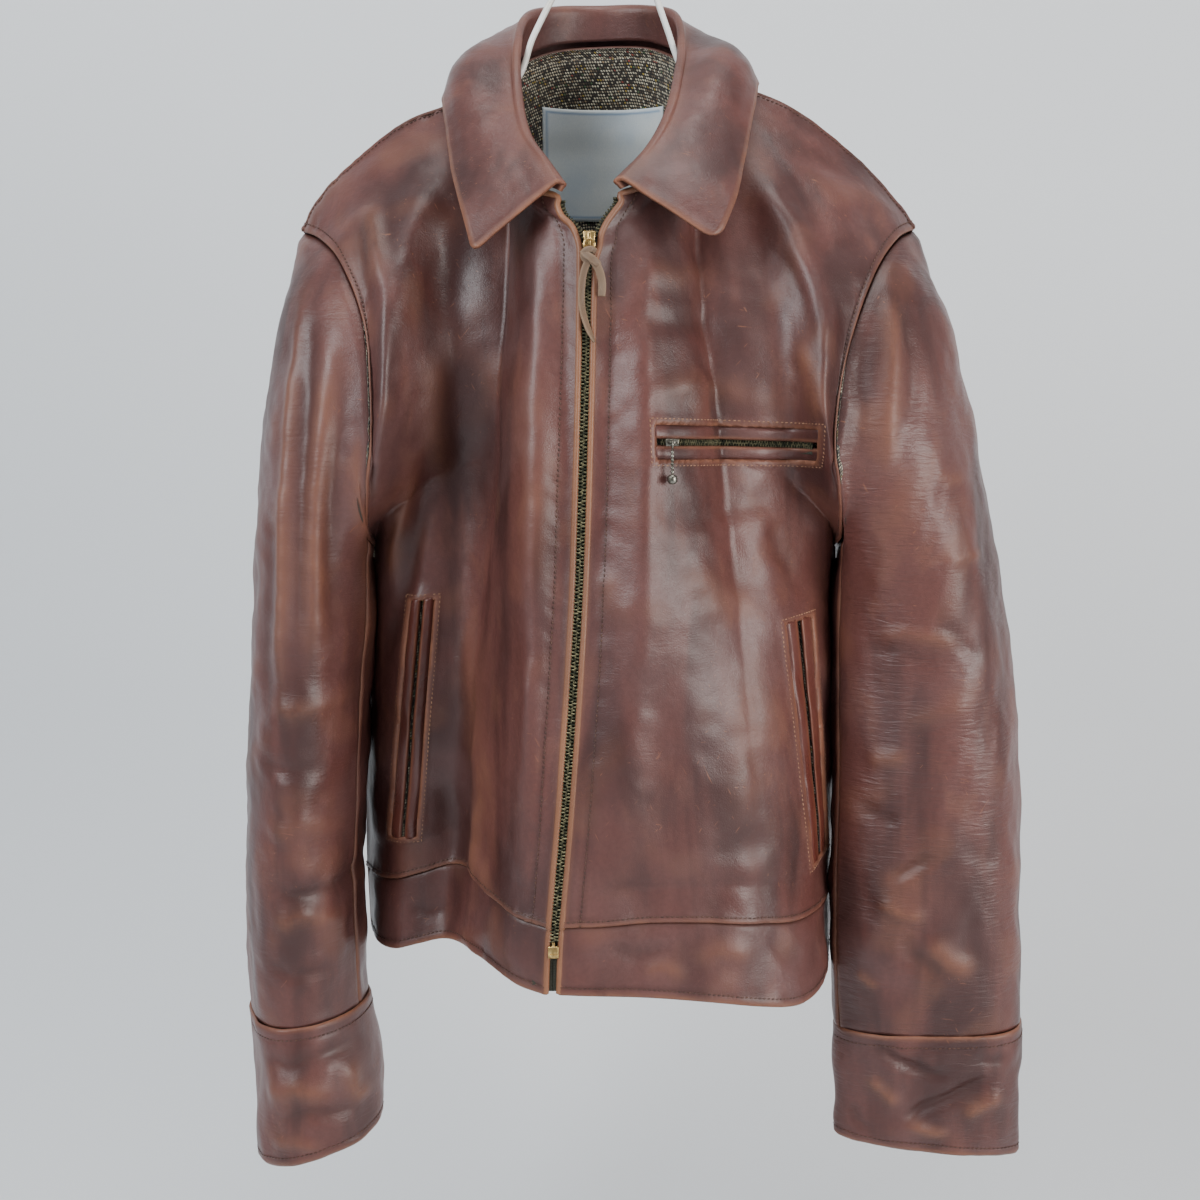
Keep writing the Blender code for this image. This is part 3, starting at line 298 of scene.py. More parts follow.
tweed = Finish("flecked tweed", roughness=0.95)
gap, chance = woven(tweed, 1.9, 2.1, 0.12)
yarn = ramp(tweed, chance, [
    (0.0, (0.030, 0.022, 0.016)), (0.16, (0.12, 0.088, 0.055)), (0.27, (0.40, 0.35, 0.25)),
    (0.55, (0.56, 0.51, 0.38)), (0.88, (0.30, 0.21, 0.12)), (0.94, (0.26, 0.045, 0.030)),
    (0.96, (0.36, 0.25, 0.04)), (0.985, (0.06, 0.12, 0.05)),
])
tone = tweed.noise(9, 3).between(0.3, 0.7) * 0.35
yarn = tweed.mix(tone, yarn, (0.08, 0.055, 0.035))
tweed.colour(tweed.mix(gap.between(0.27, 0.40), yarn, (0.007, 0.006, 0.005)))
tweed.raised((1 - gap) * 0.55)
tweed.set(Sheen_Weight=0.25)
TWEED = tweed.material

tape = Finish("zip tape", roughness=0.85)
gap, chance = woven(tape, 0.8, 1.1, 0.25)
tape.colour(tape.mix(gap.between(0.2, 0.7), (0.045, 0.046, 0.030), (0.016, 0.016, 0.011)))
tape.raised((1 - gap) * 0.2)
TAPE = tape.material

satin = Finish("plain satin", roughness=0.55)
gap, chance = woven(satin, 0.35, 0.9, 0.3)
cloud = satin.noise(40, 3).between(0.35, 0.65)
cloth = satin.mix(cloud, (0.60, 0.63, 0.62), (0.50, 0.56, 0.60))
cloth = satin.mix(chance * 0.25, cloth, (0.35, 0.42, 0.48))
satin.colour(satin.mix(satin.mark("border") * 0.8, cloth, (0.14, 0.24, 0.38)))
satin.raised((1 - gap) * 0.12)
SATIN = satin.material

twill = Finish("sleeve lining", roughness=0.6)
gap, chance = woven(twill, 0.5, 1.4, 0.1)
twill.colour(twill.mix(gap.between(0.2, 0.8), (0.060, 0.042, 0.030), (0.028, 0.019, 0.014)))
twill.raised((1 - gap) * 0.1)
SLEEVE_LINING = twill.material


# %% Metals and the hanger's coat
def metal(name, bright, dull, rough, wear_size=5.0):
    """An old plated or bare metal, bright where it is rubbed."""
    old = Finish(name, metallic=1.0)
    tarnish = old.noise(wear_size, 4, bend=0.5).between(0.38, 0.62)
    old.colour(old.mix(tarnish, bright, dull))
    old.put(old.shader.inputs["Roughness"], rough + tarnish * 0.25)
    old.raised(old.noise(0.7, 2) * 0.05)
    return old.material


BRASS = metal("worn brass", (0.72, 0.50, 0.20), (0.30, 0.20, 0.08), 0.24)
TEETH = metal("aged teeth", (0.21, 0.19, 0.11), (0.035, 0.038, 0.027), 0.38, 2.2)
OLD_NICKEL = metal("old nickel", (0.27, 0.26, 0.22), (0.08, 0.075, 0.06), 0.30, 3.0)
coat = Finish("white coating", roughness=0.32)
coat.colour(coat.mix(coat.noise(30, 3).between(0.4, 0.7), (0.80, 0.79, 0.75), (0.70, 0.68, 0.62)))
coat.raised(coat.noise(2.5, 2) * 0.08)
coat.set(Coat_Weight=0.3)
WIRE_COAT = coat.material

# %% [markdown]
# ## Curves and the cut of the body
#
# A tailor drafts a panel from its edges, and so does this script. Each edge is a smooth curve through a
# few given points, in millimetres: X to the viewer's right, Y into the jacket, Z up from the
# hook. A panel is the surface that its four edges hold between them.


# %% Curves through points
def between(a, b, c, d, t):
    """The curve from b to c, smooth through a, b, c and d, at the share t."""
    return 0.5 * (2 * b + (c - a) * t + (2 * a - 5 * b + 4 * c - d) * t**2 + (3 * b - a - 3 * c + d) * t**3)


def spline(points, steps=24):
    """A smooth curve through the points, as a function of the share of its length."""
    p = np.array(points, float)
    p = np.vstack([2 * p[0] - p[1], p, 2 * p[-1] - p[-2]])
    t = np.linspace(0, 1, steps, endpoint=False)[:, None]
    runs = []
    for a, b, c, d in zip(p[:-3], p[1:-2], p[2:-1], p[3:]):
        runs.append(between(a, b, c, d, t))
    line = np.vstack(runs + [p[-2:-1]])
    length = np.concatenate([[0], np.cumsum(np.linalg.norm(np.diff(line, axis=0), axis=1))])
    length /= length[-1]

    def at(share):
        share = np.clip(np.asarray(share, float), 0, 1)
        return np.stack([np.interp(share, length, line[:, i]) for i in range(line.shape[1])], axis=-1)

    return at


def joined(first, second, share):
    """One edge made of two curves: the first up to the share, the second after it."""

    def at(value):
        value = np.asarray(value, float)
        a = first(np.clip(value / share, 0, 1))
        b = second(np.clip((value - share) / (1 - share), 0, 1))
        return np.where((value <= share)[..., None], a, b)

    return at


def reversed_curve(curve):
    return lambda share: curve(1 - np.asarray(share, float))


def smooth_step(value):
    value = np.clip(value, 0, 1)
    return value * value * (3 - 2 * value)


# %% Seam lines of the body
ZIP_LINE = [
    (-16, -98, -268), (-17, -106, -300), (-20, -117, -400), (-24, -124, -523),
    (-32, -129, -650), (-40, -131, -745), (-42, -131, -788),
]
EDGE_RIGHT = [
    (-36, -98, -266), (-37, -99, -272), (-34, -101, -279), (-27, -103, -286), (-23.5, -106, -296),
    (-22.5, -108, -310), (-24, -117, -400), (-28, -124, -523), (-36, -129, -650), (-44, -131, -745),
    (-46, -131, -788),
]
EDGE_LEFT = [
    (2, -98, -264), (3, -99, -270), (-3, -101, -278), (-9, -103, -288), (-11, -106, -299),
    (-14, -108, -315), (-16, -117, -400), (-20, -124, -523), (-28, -129, -650), (-36, -131, -745),
    (-38, -131, -788),
]
NECK_RIGHT = [
    (-36, -98, -266), (-45, -93, -262), (-58, -84, -254),
    (-74, -56, -226), (-82, -24, -192), (-83, 0, -176),
]
NECK_LEFT = [
    (2, -98, -264), (13, -92, -259), (27, -84, -250), (46, -56, -220), (56, -24, -186), (60, 0, -170),
]
NECK_BACK = [
    (-83, 0, -176), (-74, 30, -159), (-46, 54, -143), (-10, 62, -138),
    (26, 54, -140), (50, 30, -154), (60, 0, -170),
]
SHOULDER_RIGHT = [
    (-83, 0, -176), (-117, 0, -190), (-150, 0, -203), (-191, 0, -235), (-213, 0, -260), (-221, 0, -277),
]
SHOULDER_LEFT = [
    (60, 0, -170), (96, 0, -180), (130, 0, -195), (172, 0, -227), (204, 0, -260), (213, 0, -275),
]
ARMHOLE_FRONT_RIGHT = [
    (-221, 0, -277), (-202, -30, -286), (-183, -58, -306), (-165, -82, -350),
    (-161, -92, -415), (-166, -84, -455), (-172, -50, -487), (-174, 0, -500),
]
ARMHOLE_FRONT_LEFT = [
    (213, 0, -275), (194, -30, -286), (173, -60, -314), (153, -84, -366),
    (145, -93, -420), (150, -84, -456), (157, -50, -488), (160, 0, -500),
]
ARMHOLE_BACK_RIGHT = [
    (-221, 0, -277), (-206, 26, -292), (-190, 52, -322), (-178, 70, -375),
    (-174, 74, -430), (-175, 58, -468), (-175, 30, -490), (-174, 0, -500),
]
ARMHOLE_BACK_LEFT = [
    (213, 0, -275), (198, 26, -292), (182, 52, -322), (168, 70, -375),
    (162, 74, -430), (161, 58, -468), (161, 30, -490), (160, 0, -500),
]
SIDE_RIGHT = [(-174, 0, -500), (-181.5, 27, -560), (-187.5, 40, -650), (-190, 42, -740), (-188, 38, -800)]
SIDE_LEFT = [(160, 0, -500), (166, 26, -560), (171, 42, -650), (171.5, 46, -740), (168, 34, -806)]
HEM_RIGHT = [
    (-46, -131, -788), (-66, -121, -785), (-84, -98, -781), (-106, -58, -782), (-124, -33, -785),
    (-143, -26, -791), (-162, -20, -797), (-178, 2, -800), (-188, 38, -800),
]
HEM_LEFT = [
    (-38, -131, -788), (20, -132, -790), (60, -130, -793), (100, -121, -800),
    (127, -103, -806), (146, -70, -808), (157, -30, -808), (168, 34, -806),
]
HEM_BACK = [
    (-188, 38, -800), (-170, 58, -800), (-130, 70, -798), (-92, 72, -796), (-48, 88, -796), (0, 84, -796),
    (48, 92, -797), (96, 80, -799), (134, 66, -802), (156, 50, -805), (168, 34, -806),
]
ARMHOLE_SHARE, BAND_SHARE, NECK_SHARE, BACK_SHOULDER_SHARE = 0.42, 0.912, 0.46, 0.33
BACK_NECK_END_SHARE = BACK_SHOULDER_SHARE + (1 - BACK_SHOULDER_SHARE) / 2

EDGES = {
    "zip_right": spline(EDGE_RIGHT),
    "zip_left": spline(EDGE_LEFT),
    "top_right": joined(spline(NECK_RIGHT), spline(SHOULDER_RIGHT), NECK_SHARE),
    "top_left": joined(spline(NECK_LEFT), spline(SHOULDER_LEFT), NECK_SHARE),
    "side_right": joined(spline(ARMHOLE_FRONT_RIGHT), spline(SIDE_RIGHT), ARMHOLE_SHARE),
    "side_left": joined(spline(ARMHOLE_FRONT_LEFT), spline(SIDE_LEFT), ARMHOLE_SHARE),
    "back_side_right": joined(spline(ARMHOLE_BACK_RIGHT), spline(SIDE_RIGHT), ARMHOLE_SHARE),
    "back_side_left": joined(spline(ARMHOLE_BACK_LEFT), spline(SIDE_LEFT), ARMHOLE_SHARE),
    "hem_right": spline(HEM_RIGHT),
    "hem_left": spline(HEM_LEFT),
    "hem_back": spline(HEM_BACK),
    "back_top": joined(
        reversed_curve(spline(SHOULDER_RIGHT)),
        joined(spline(NECK_BACK), spline(SHOULDER_LEFT), 0.5),
        BACK_SHOULDER_SHARE,
    ),
}
steps = np.diff(spline(ZIP_LINE)(np.linspace(0, 1, 99)), axis=0)
print("front zip:", round(float(np.linalg.norm(steps, axis=1).sum())), "mm")


# %% [markdown]
# ## Panels between seam lines
#
# `patch` blends four edges into a surface. The fullness of the chest and the long creases are then
# pushed in or out, and they fade before the seams, where the panels meet.


# %% The surface of a panel
def patch(top, bottom, start, end, start_reach=1.0, end_reach=1.0, hem_reach=1.0, round_back=False):
    """The surface that four edges hold between them, over u across and v down."""
    corners = [top(0.0), top(1.0), bottom(0.0), bottom(1.0)]

    def at(u, v):
        across, down = u[..., None], v[..., None]
        upper = (1 - across) * corners[0] + across * corners[1]
        lower = (1 - across) * corners[2] + across * corners[3]
        flat = (1 - down) * upper + down * lower
        first = (1 - down) * corners[0] + down * corners[2]
        last = (1 - down) * corners[1] + down * corners[3]
        sides = (1 - across) ** start_reach * (start(v) - first) + across**end_reach * (end(v) - last)
        ends = (1 - down) * (top(u) - upper) + down**hem_reach * (bottom(u) - lower)
        points = flat + sides + ends
        if round_back:
            from_sides, from_ends = sides[..., 1], ends[..., 1]
            fuller = np.cbrt(np.maximum(from_sides, 0) ** 3 + np.maximum(from_ends, 0) ** 3)
            points[..., 1] = flat[..., 1] + fuller + np.minimum(from_sides, 0) + np.minimum(from_ends, 0)
        return points

    return at


def near_path(x, z, path):
    """Distance in X and Z from a path, and the share of the way along it."""
    path = np.array(path, float)
    best, share = np.full(np.shape(x), 1e9), np.zeros(np.shape(x))
    pieces = len(path) - 1
    for i in range(pieces):
        (ax, az), (bx, bz) = path[i], path[i + 1]
        along = ((x - ax) * (bx - ax) + (z - az) * (bz - az)) / ((bx - ax) ** 2 + (bz - az) ** 2)
        along = np.clip(along, 0, 1)
        gap = np.hypot(x - ax - along * (bx - ax), z - az - along * (bz - az))
        share = np.where(gap < best, (i + along) / pieces, share)
        best = np.minimum(gap, best)
    return best, share


SIDE_REACH, HEM_REACH = 2.2, 1.7
FRONT_FULLNESS, BACK_FULLNESS = 24.0, 16.0
FOLDS_RIGHT = [
    ([(-126, -236), (-136, -282), (-147, -345), (-154, -405), (-158, -470)], 13, -8),
    (
        [(-112, -262), (-112, -320), (-109, -380), (-105, -440), (-101, -520), (-104, -640), (-112, -760)],
        20, 11,
    ),
    ([(-60, -560), (-66, -650), (-76, -760)], 20, -5),
    ([(-140, -520), (-146, -600), (-150, -700)], 13, -6),
]
FOLDS_LEFT = [
    ([(96, -238), (117, -280), (131, -318), (136, -372), (137, -430)], 12, -8),
    ([(84, -258), (98, -310), (112, -368), (122, -440), (130, -520)], 16, 6),
    ([(20, -560), (26, -660), (22, -770)], 26, 4),
    ([(96, -520), (98, -620), (90, -740)], 22, -4),
]
FOLDS_BACK = [
    ([(-150, -300), (-138, -390), (-128, -520), (-124, -700), (-128, -790)], 18, -9),
    ([(140, -300), (128, -400), (118, -520), (112, -700), (118, -790)], 18, -9),
    ([(-60, -320), (-52, -460), (-46, -640), (-48, -790)], 24, 7),
    ([(48, -330), (44, -460), (50, -640), (48, -790)], 24, 7),
    ([(0, -420), (-4, -560), (0, -780)], 18, -6),
]


def creased(surface, folds, fullness, towards):
    """The surface with its long creases and the fullness of the chest or the back."""

    def at(u, v):
        points = surface(u, v)
        edge = smooth_step(u / 0.16) * smooth_step((1 - u) / 0.16) * smooth_step(v / 0.14)
        push = towards * fullness * edge * np.sin(math.pi * np.clip(v * 1.15, 0, 1)) ** 0.7
        for path, width, depth in folds:
            gap, share = near_path(points[..., 0], points[..., 2], path)
            fade = smooth_step(share / 0.2 + 0.15)
            push = push - towards * depth * np.exp(-((gap / width) ** 2)) * fade * edge
        points = points.copy()
        points[..., 1] += push
        return points

    return at


# %% [markdown]
# ## Laying a panel in small cells
#
# A grid of cells is laid on the surface, finer beside the seams, where the leather rolls over. The
# relief is added along the surface's own normal: a raised or tucked edge, a soft groove under each
# stitch row with small puckers, the listed creases, and the slow lumps of thick hide. What the shader
# needs to know, the wear and the painted shade of troughs, grooves and hollows, is kept on the points.


# %% Relief of a panel
EDGE_ROWS_MM = (0.5, 1.2, 2.2, 4.0)
CREASE_STRENGTH = 1.3
ROLL_OVER, ROLL_OVER_WIDTH = 1.4, 2.4
STITCH_GROOVE, STITCH_PUCKER = 0.6, 0.45


def lumps(points, size, seed):
    """Smooth random lumps about this many millimetres across, from -1 to 1 or so."""
    chance = np.random.default_rng(seed)
    total = np.zeros(points.shape[:-1])
    for _ in range(14):
        way = chance.normal(size=3)
        way /= np.linalg.norm(way)
        pitch = 2 * math.pi / (size * chance.uniform(1.4, 2.6))
        total += np.cos(points @ way * pitch + chance.uniform(0, 6.3))
    return total / 4.0


def normals_of(grid, facing=1, closed=False):
    """Unit normals of a grid of points. Facing is -1 where its rows and columns run the other way round."""
    down = np.gradient(grid, axis=0)
    if closed:
        around = np.concatenate([grid[:, -1:], grid, grid[:, :1]], axis=1)
        across = (around[:, 2:] - around[:, :-2]) / 2
    else:
        across = np.gradient(grid, axis=1)
    out = facing * np.cross(down, across)
    return out / np.maximum(np.linalg.norm(out, axis=-1, keepdims=True), 1e-9)


def lengths_along(grid, axis):
    """Millimetres from the first row or column of a grid to each point."""
    steps = np.linalg.norm(np.diff(grid, axis=axis), axis=-1)
    start = np.zeros_like(np.take(steps, [0], axis=axis))
    return np.concatenate([start, np.cumsum(steps, axis=axis)], axis=axis)


def edge_distances(grid):
    """Distance from the left, right, top and bottom edges of a grid, in millimetres."""
    across, down = lengths_along(grid, 1), lengths_along(grid, 0)
    return {"left": across, "right": across[:, -1:] - across, "top": down, "bottom": down[-1:] - down}


def fine_shares(stops, length, cell):
    """Even shares between the stops, with a few rows close to both ends. The length is the whole edge's."""
    values = []
    for low, high in zip(stops[:-1], stops[1:]):
        count = max(2, round((high - low) * length / cell))
        values += list(np.linspace(low, high, count, endpoint=False))
    near = np.array(EDGE_ROWS_MM) / length
    low, high = stops[0], stops[-1]
    inner = [value for value in values if low + near[-1] * 1.4 < value < high - near[-1] * 1.4]
    return np.concatenate([[low], low + near, inner, high - near[::-1], [high]])


def creasing(grid, creases):
    """How deep the creases push in, and the wear on ridges and the painted shade in troughs."""
    push, wear, painted_shade = (np.zeros(grid.shape[:2]) for _ in range(3))
    for path, width, depth in creases:
        gap, share = near_path(grid[..., 0], grid[..., 2], path)
        shape = np.exp(-((gap / width) ** 2)) * smooth_step(share / 0.3) * smooth_step((1 - share) / 0.3)
        push += CREASE_STRENGTH * depth * shape
        # Painted shade: a trough is marked to be darkened in the colour.
        painted_shade = np.maximum(painted_shade, np.clip(1.5 * depth / width, 0, 0.7) * shape)
        wear = np.maximum(wear, np.clip(-1.1 * depth / width, 0, 0.45) * shape)
    return push, wear, painted_shade


def relief(grid, edges, stitches, creases, seed, facing=1, lump=(0.8, 0.22)):
    """The grid with its relief, and each point's wear and painted shade.

    Edges give each side's lift and worn tan, and a side with no lift hardly rolls over. Stitches are
    rows of (side, inset, from, to).
    """
    out = normals_of(grid, facing)
    distance = edge_distances(grid)
    down, across = np.linspace(0, 1, grid.shape[0])[:, None], np.linspace(0, 1, grid.shape[1])[None, :]
    lift = np.zeros(grid.shape[:2])
    wear = np.zeros(grid.shape[:2])
    painted_shade = np.zeros(grid.shape[:2])
    for side, (height, tan) in edges.items():
        gap = distance[side]
        lift += height * (1 - smooth_step(gap / 9.0))
        lift -= (ROLL_OVER if height else 0.3) * np.clip(1 - gap / ROLL_OVER_WIDTH, 0, 1) ** 2
        wear = np.maximum(wear, tan * np.exp(-((gap / 2.4) ** 2)))
        # Painted shade under a tucked edge, where it runs beneath its neighbour.
        if height < 0:
            painted_shade = np.maximum(painted_shade, 0.7 * np.exp(-((gap / 2.5) ** 2)))
    for side, inset, low, high in stitches:
        upright = side in ("left", "right")
        along = distance["top"] if upright else distance["left"]
        here = down if upright else across
        shown = smooth_step((here - low) / 0.02 + 1) * smooth_step((high - here) / 0.02 + 1)
        gap = distance[side] - inset
        pucker = lumps(np.stack([along, gap * 0.3, 0 * gap], axis=-1), 4.5, seed + 7)
        lift -= STITCH_GROOVE * shown * np.exp(-((gap / 1.4) ** 2))
        lift += STITCH_PUCKER * shown * pucker * np.exp(-((gap / 5.5) ** 2))
        # Painted shade along the stitch groove.
        painted_shade = np.maximum(painted_shade, 0.6 * shown * np.exp(-((gap / 1.3) ** 2)))
    push, worn, painted_shade_of_creases = creasing(grid, creases)
    lift -= push
    painted_shade, wear = np.maximum(painted_shade, painted_shade_of_creases), np.maximum(wear, worn)
    inside = smooth_step(np.minimum.reduce([distance[side] for side in edges]) / 12.0)
    big, small = lumps(grid, 26, seed), lumps(grid, 9, seed + 1)
    lift += (lump[0] * big + lump[1] * small) * (0.25 + 0.75 * inside)
    wear = np.maximum(wear, 0.18 * smooth_step((big - 0.5) / 0.9))
    # Painted shade in the hollows between the lumps.
    painted_shade = np.maximum(painted_shade, 0.28 * smooth_step((-big - 0.5) / 0.9))
    return grid + lift[..., None] * out, wear, painted_shade


# %% Laying the cells
def wrapped(grid):
    """The grid with its first column again after its last."""
    return np.concatenate([grid, grid[:, :1]], axis=1)


def lay(name, grid, marks, finish, wall=2.2, facing=1, closed=False, inside=None):
    """A sheet of cells on a grid of points, with a wall inwards, at its place in metres.

    Its map "cut" is the sheet laid flat, in metres.
    """
    points = wrapped(grid) if closed else grid
    rows, columns = points.shape[:2]
    form = bmesh.new()
    bmesh.ops.create_grid(form, x_segments=columns - 1, y_segments=rows - 1, size=1.0)
    layers = {key: form.verts.layers.float.new(key) for key in marks}
    values = {key: (wrapped(mark) if closed else mark).reshape(-1) for key, mark in marks.items()}
    places = points.reshape(-1, 3) * MM
    for i, vert in enumerate(form.verts):
        vert.co = places[i]
        for key, layer in layers.items():
            vert[layer] = float(values[key][i])
    flat = np.stack([lengths_along(points, 1), lengths_along(points, 0)], axis=-1).reshape(-1, 2) * MM
    cut = form.loops.layers.uv.new("cut")
    for face in form.faces:
        for loop in face.loops:
            loop[cut].uv = flat[loop.vert.index]
    if closed:
        bmesh.ops.remove_doubles(form, verts=form.verts[:], dist=1e-7)
    # A grid's own faces look along rows crossed with columns, which is into the cloth where facing is 1
    form.faces.ensure_lookup_table()
    r, c = rows // 2, columns // 2
    out = Vector(normals_of(grid, facing, closed)[r, min(c, grid.shape[1] - 1)])
    spot = Vector(places[r * columns + c])
    nearest = min(form.faces, key=lambda face: (face.calc_center_median() - spot).length_squared)
    nearest.normal_update()
    if nearest.normal.dot(out) < 0:
        bmesh.ops.reverse_faces(form, faces=form.faces[:])
    for face in form.faces:
        face.smooth = True
    return made(name, form, finish, wall, inside)


def made(name, form, finish, wall=0.0, inside=None):
    """A finished piece from a bmesh, its wall given inwards by Solidify."""
    mesh = bpy.data.meshes.new(name)
    form.to_mesh(mesh)
    form.free()
    mesh.materials.append(finish)
    obj = bpy.data.objects.new(name, mesh)
    bpy.context.scene.collection.objects.link(obj)
    if wall:
        solid = obj.modifiers.new("wall", "SOLIDIFY")
        solid.thickness = wall * MM
        solid.offset = -1.0
        if inside:
            mesh.materials.append(inside)
            solid.material_offset = 1
    return obj


def skin_of(*grids):
    """The outer faces of panels, for placing what lies on them."""
    points, faces = [], []
    for grid in grids:
        rows, columns = grid.shape[:2]
        first = len(points)
        points += [Vector(point) for row in grid for point in row]
        for r in range(rows - 1):
            for c in range(columns - 1):
                corner = first + r * columns + c
                faces.append((corner, corner + 1, corner + columns + 1, corner + columns))
    return BVHTree.FromPolygons(points, faces)


def depth_at(skin, x, z):
    """Where the front's surface lies behind the point X, Z of the picture plane."""
    found = skin.ray_cast(Vector((x, -400, z)), Vector((0, 1, 0)))[0]
    return found.y if found else skin.find_nearest(Vector((x, -130, z)))[0].y


# %% [markdown]
# ## Thread
#
# A stitch is a small bead of thread, so a row of them is one mesh: a template bead is copied along a
# line that runs at an even distance from the seam, lying on the leather and slightly sunk into it.

# %% Stitches
STITCH_PITCH, STITCH_LENGTH, THREAD = 3.3, 2.5, 0.95
STITCH_LIFT, STITCH_SLANT = 0.2, 0.16
stitch_rows = {"dark": [], "tan": []}


def bead_shape(u, v, size):
    """Points and faces of a small rounded bead."""
    form = bmesh.new()
    bmesh.ops.create_uvsphere(form, u_segments=u, v_segments=v, radius=0.5)
    bmesh.ops.scale(form, vec=Vector(size), verts=form.verts[:])
    points = np.array([vert.co[:] for vert in form.verts])
    faces = [[vert.index for vert in face.verts] for face in form.faces]
    form.free()
    return points, faces


def copies(name, shape, frames, finish, smooth=True):
    """One mesh from many copies of a shape: each frame is a place and three axes, in millimetres."""
    points, faces = shape
    every_point, every_face = [], []
    for place, axes in frames:
        first = len(every_point) * len(points)
        every_point.append(place + points @ axes)
        every_face += [[first + i for i in face] for face in faces]
    mesh = bpy.data.meshes.new(name)
    mesh.from_pydata(np.concatenate(every_point) * MM, [], every_face)
    mesh.polygons.foreach_set("use_smooth", [smooth] * len(mesh.polygons))
    mesh.materials.append(finish)
    obj = bpy.data.objects.new(name, mesh)
    bpy.context.scene.collection.objects.link(obj)
    return obj


def frames_along(line, out, pitch, lift=0.0, slant=0.0):
    """Places at an even pitch along a line, each with its own length, side and out."""
    length = np.concatenate([[0], np.cumsum(np.linalg.norm(np.diff(line, axis=0), axis=1))])
    count = max(2, int(length[-1] / pitch))
    stops = (np.arange(count) + 0.5) * length[-1] / count
    at = np.stack([np.interp(stops, length, line[:, i]) for i in range(3)], axis=-1)
    up = np.stack([np.interp(stops, length, out[:, i]) for i in range(3)], axis=-1)
    ahead = np.stack([np.interp(stops + 0.5, length, line[:, i]) for i in range(3)], axis=-1)
    behind = np.stack([np.interp(stops - 0.5, length, line[:, i]) for i in range(3)], axis=-1)
    frames = []
    for place, normal, way in zip(at, up, ahead - behind):
        normal = normal / np.linalg.norm(normal)
        way = way - normal * (way @ normal)
        way /= max(np.linalg.norm(way), 1e-9)
        side = np.cross(normal, way)
        way = way * math.cos(slant) + side * math.sin(slant)
        frames.append((place + lift * normal, np.array([way, np.cross(normal, way), normal])))
    return frames


STITCH = bead_shape(6, 5, (STITCH_LENGTH, THREAD, THREAD))


def inset_line(grid, side, inset, low=0.0, high=1.0, facing=1):
    """A line on the grid at an even distance from one side, and the normals along it."""
    if side in ("right", "bottom"):
        other = {"right": "left", "bottom": "top"}[side]
        line, out = inset_line(np.flip(grid, (0, 1)), other, inset, 1 - high, 1 - low, facing)
        return line[::-1], out[::-1]
    work = grid if side == "left" else np.swapaxes(grid, 0, 1)
    out = normals_of(grid, facing)
    out = out if side == "left" else np.swapaxes(out, 0, 1)
    first, last = int(low * (len(work) - 1)), int(round(high * (len(work) - 1)))
    line, normals = [], []
    for row, ways in zip(work[first : last + 1], out[first : last + 1]):
        length = np.concatenate([[0], np.cumsum(np.linalg.norm(np.diff(row, axis=0), axis=1))])
        line.append([np.interp(inset, length, row[:, i]) for i in range(3)])
        normals.append([np.interp(inset, length, ways[:, i]) for i in range(3)])
    return np.array(line), np.array(normals)


def stitch(line, out, thread="dark"):
    """Keeps a row of stitches for the thread's one mesh, which is made at the end."""
    frames = frames_along(np.array(line), np.array(out), STITCH_PITCH, lift=STITCH_LIFT, slant=STITCH_SLANT)
    stitch_rows[thread].append(frames)


# %% [markdown]
# ## Fronts, back and hem band
#
# Each panel runs down to the hem, and is cut there into the panel itself and its length of the hem
# band, which is sewn on under the panel's edge.

# %% Body panels
CELL = 3.2
CREASES_RIGHT = [
    ([(-134, -421), (-144, -460), (-155, -499), (-160, -532)], 5.5, -3.2),
    ([(-124, -440), (-135, -479), (-147, -525), (-159, -562), (-167, -592)], 6, 3.0),
    ([(-93, -332), (-89, -395), (-87, -460), (-90, -499)], 11, 2.2),
    ([(-61, -351), (-55, -415), (-53, -473), (-56, -539)], 13, -2.2),
    ([(-119, -357), (-124, -408), (-119, -460)], 8, -2.4),
    ([(-72, -499), (-67, -579), (-63, -660), (-61, -715)], 12, 2.0),
    ([(-101, -539), (-97, -606), (-93, -674)], 9, -2.4),
    ([(-118, -660), (-116, -700), (-117, -744)], 9, 3.4),
    ([(-90, -610), (-92, -672), (-97, -712), (-97, -758)], 6, -3.0),
    ([(-158, -606), (-149, -646), (-146, -701)], 7, 2.0),
    ([(-168, -258), (-159, -291), (-156, -326)], 7, -2.0),
    ([(-176, -273), (-168, -307), (-161, -351)], 6, 1.6),
    ([(-97, -701), (-87, -729), (-86, -750)], 6, -2.2),
]
CREASES_LEFT = [
    ([(8, -332), (28, -345), (54, -346), (76, -339)], 8, 1.4),
    ([(16, -392), (48, -386), (80, -390), (109, -399)], 9, -1.6),
    ([(22, -459), (55, -472), (93, -463), (119, -447)], 10, 1.8),
    ([(42, -498), (68, -525), (101, -531)], 12, -2.2),
    ([(16, -551), (30, -604), (27, -659)], 14, 1.6),
    ([(82, -551), (90, -618), (85, -686)], 13, -1.8),
    ([(57, -700), (83, -689), (117, -693)], 9, 1.4),
    ([(121, -351), (129, -383), (135, -415)], 5, -2.0),
    ([(111, -295), (121, -326), (129, -357)], 5, 1.5),
    ([(15, -308), (41, -317), (63, -309)], 7, -1.2),
    ([(-11, -498), (-2, -525), (16, -539)], 8, -1.3),
    ([(104, -472), (113, -498), (128, -518)], 7, 1.8),
]
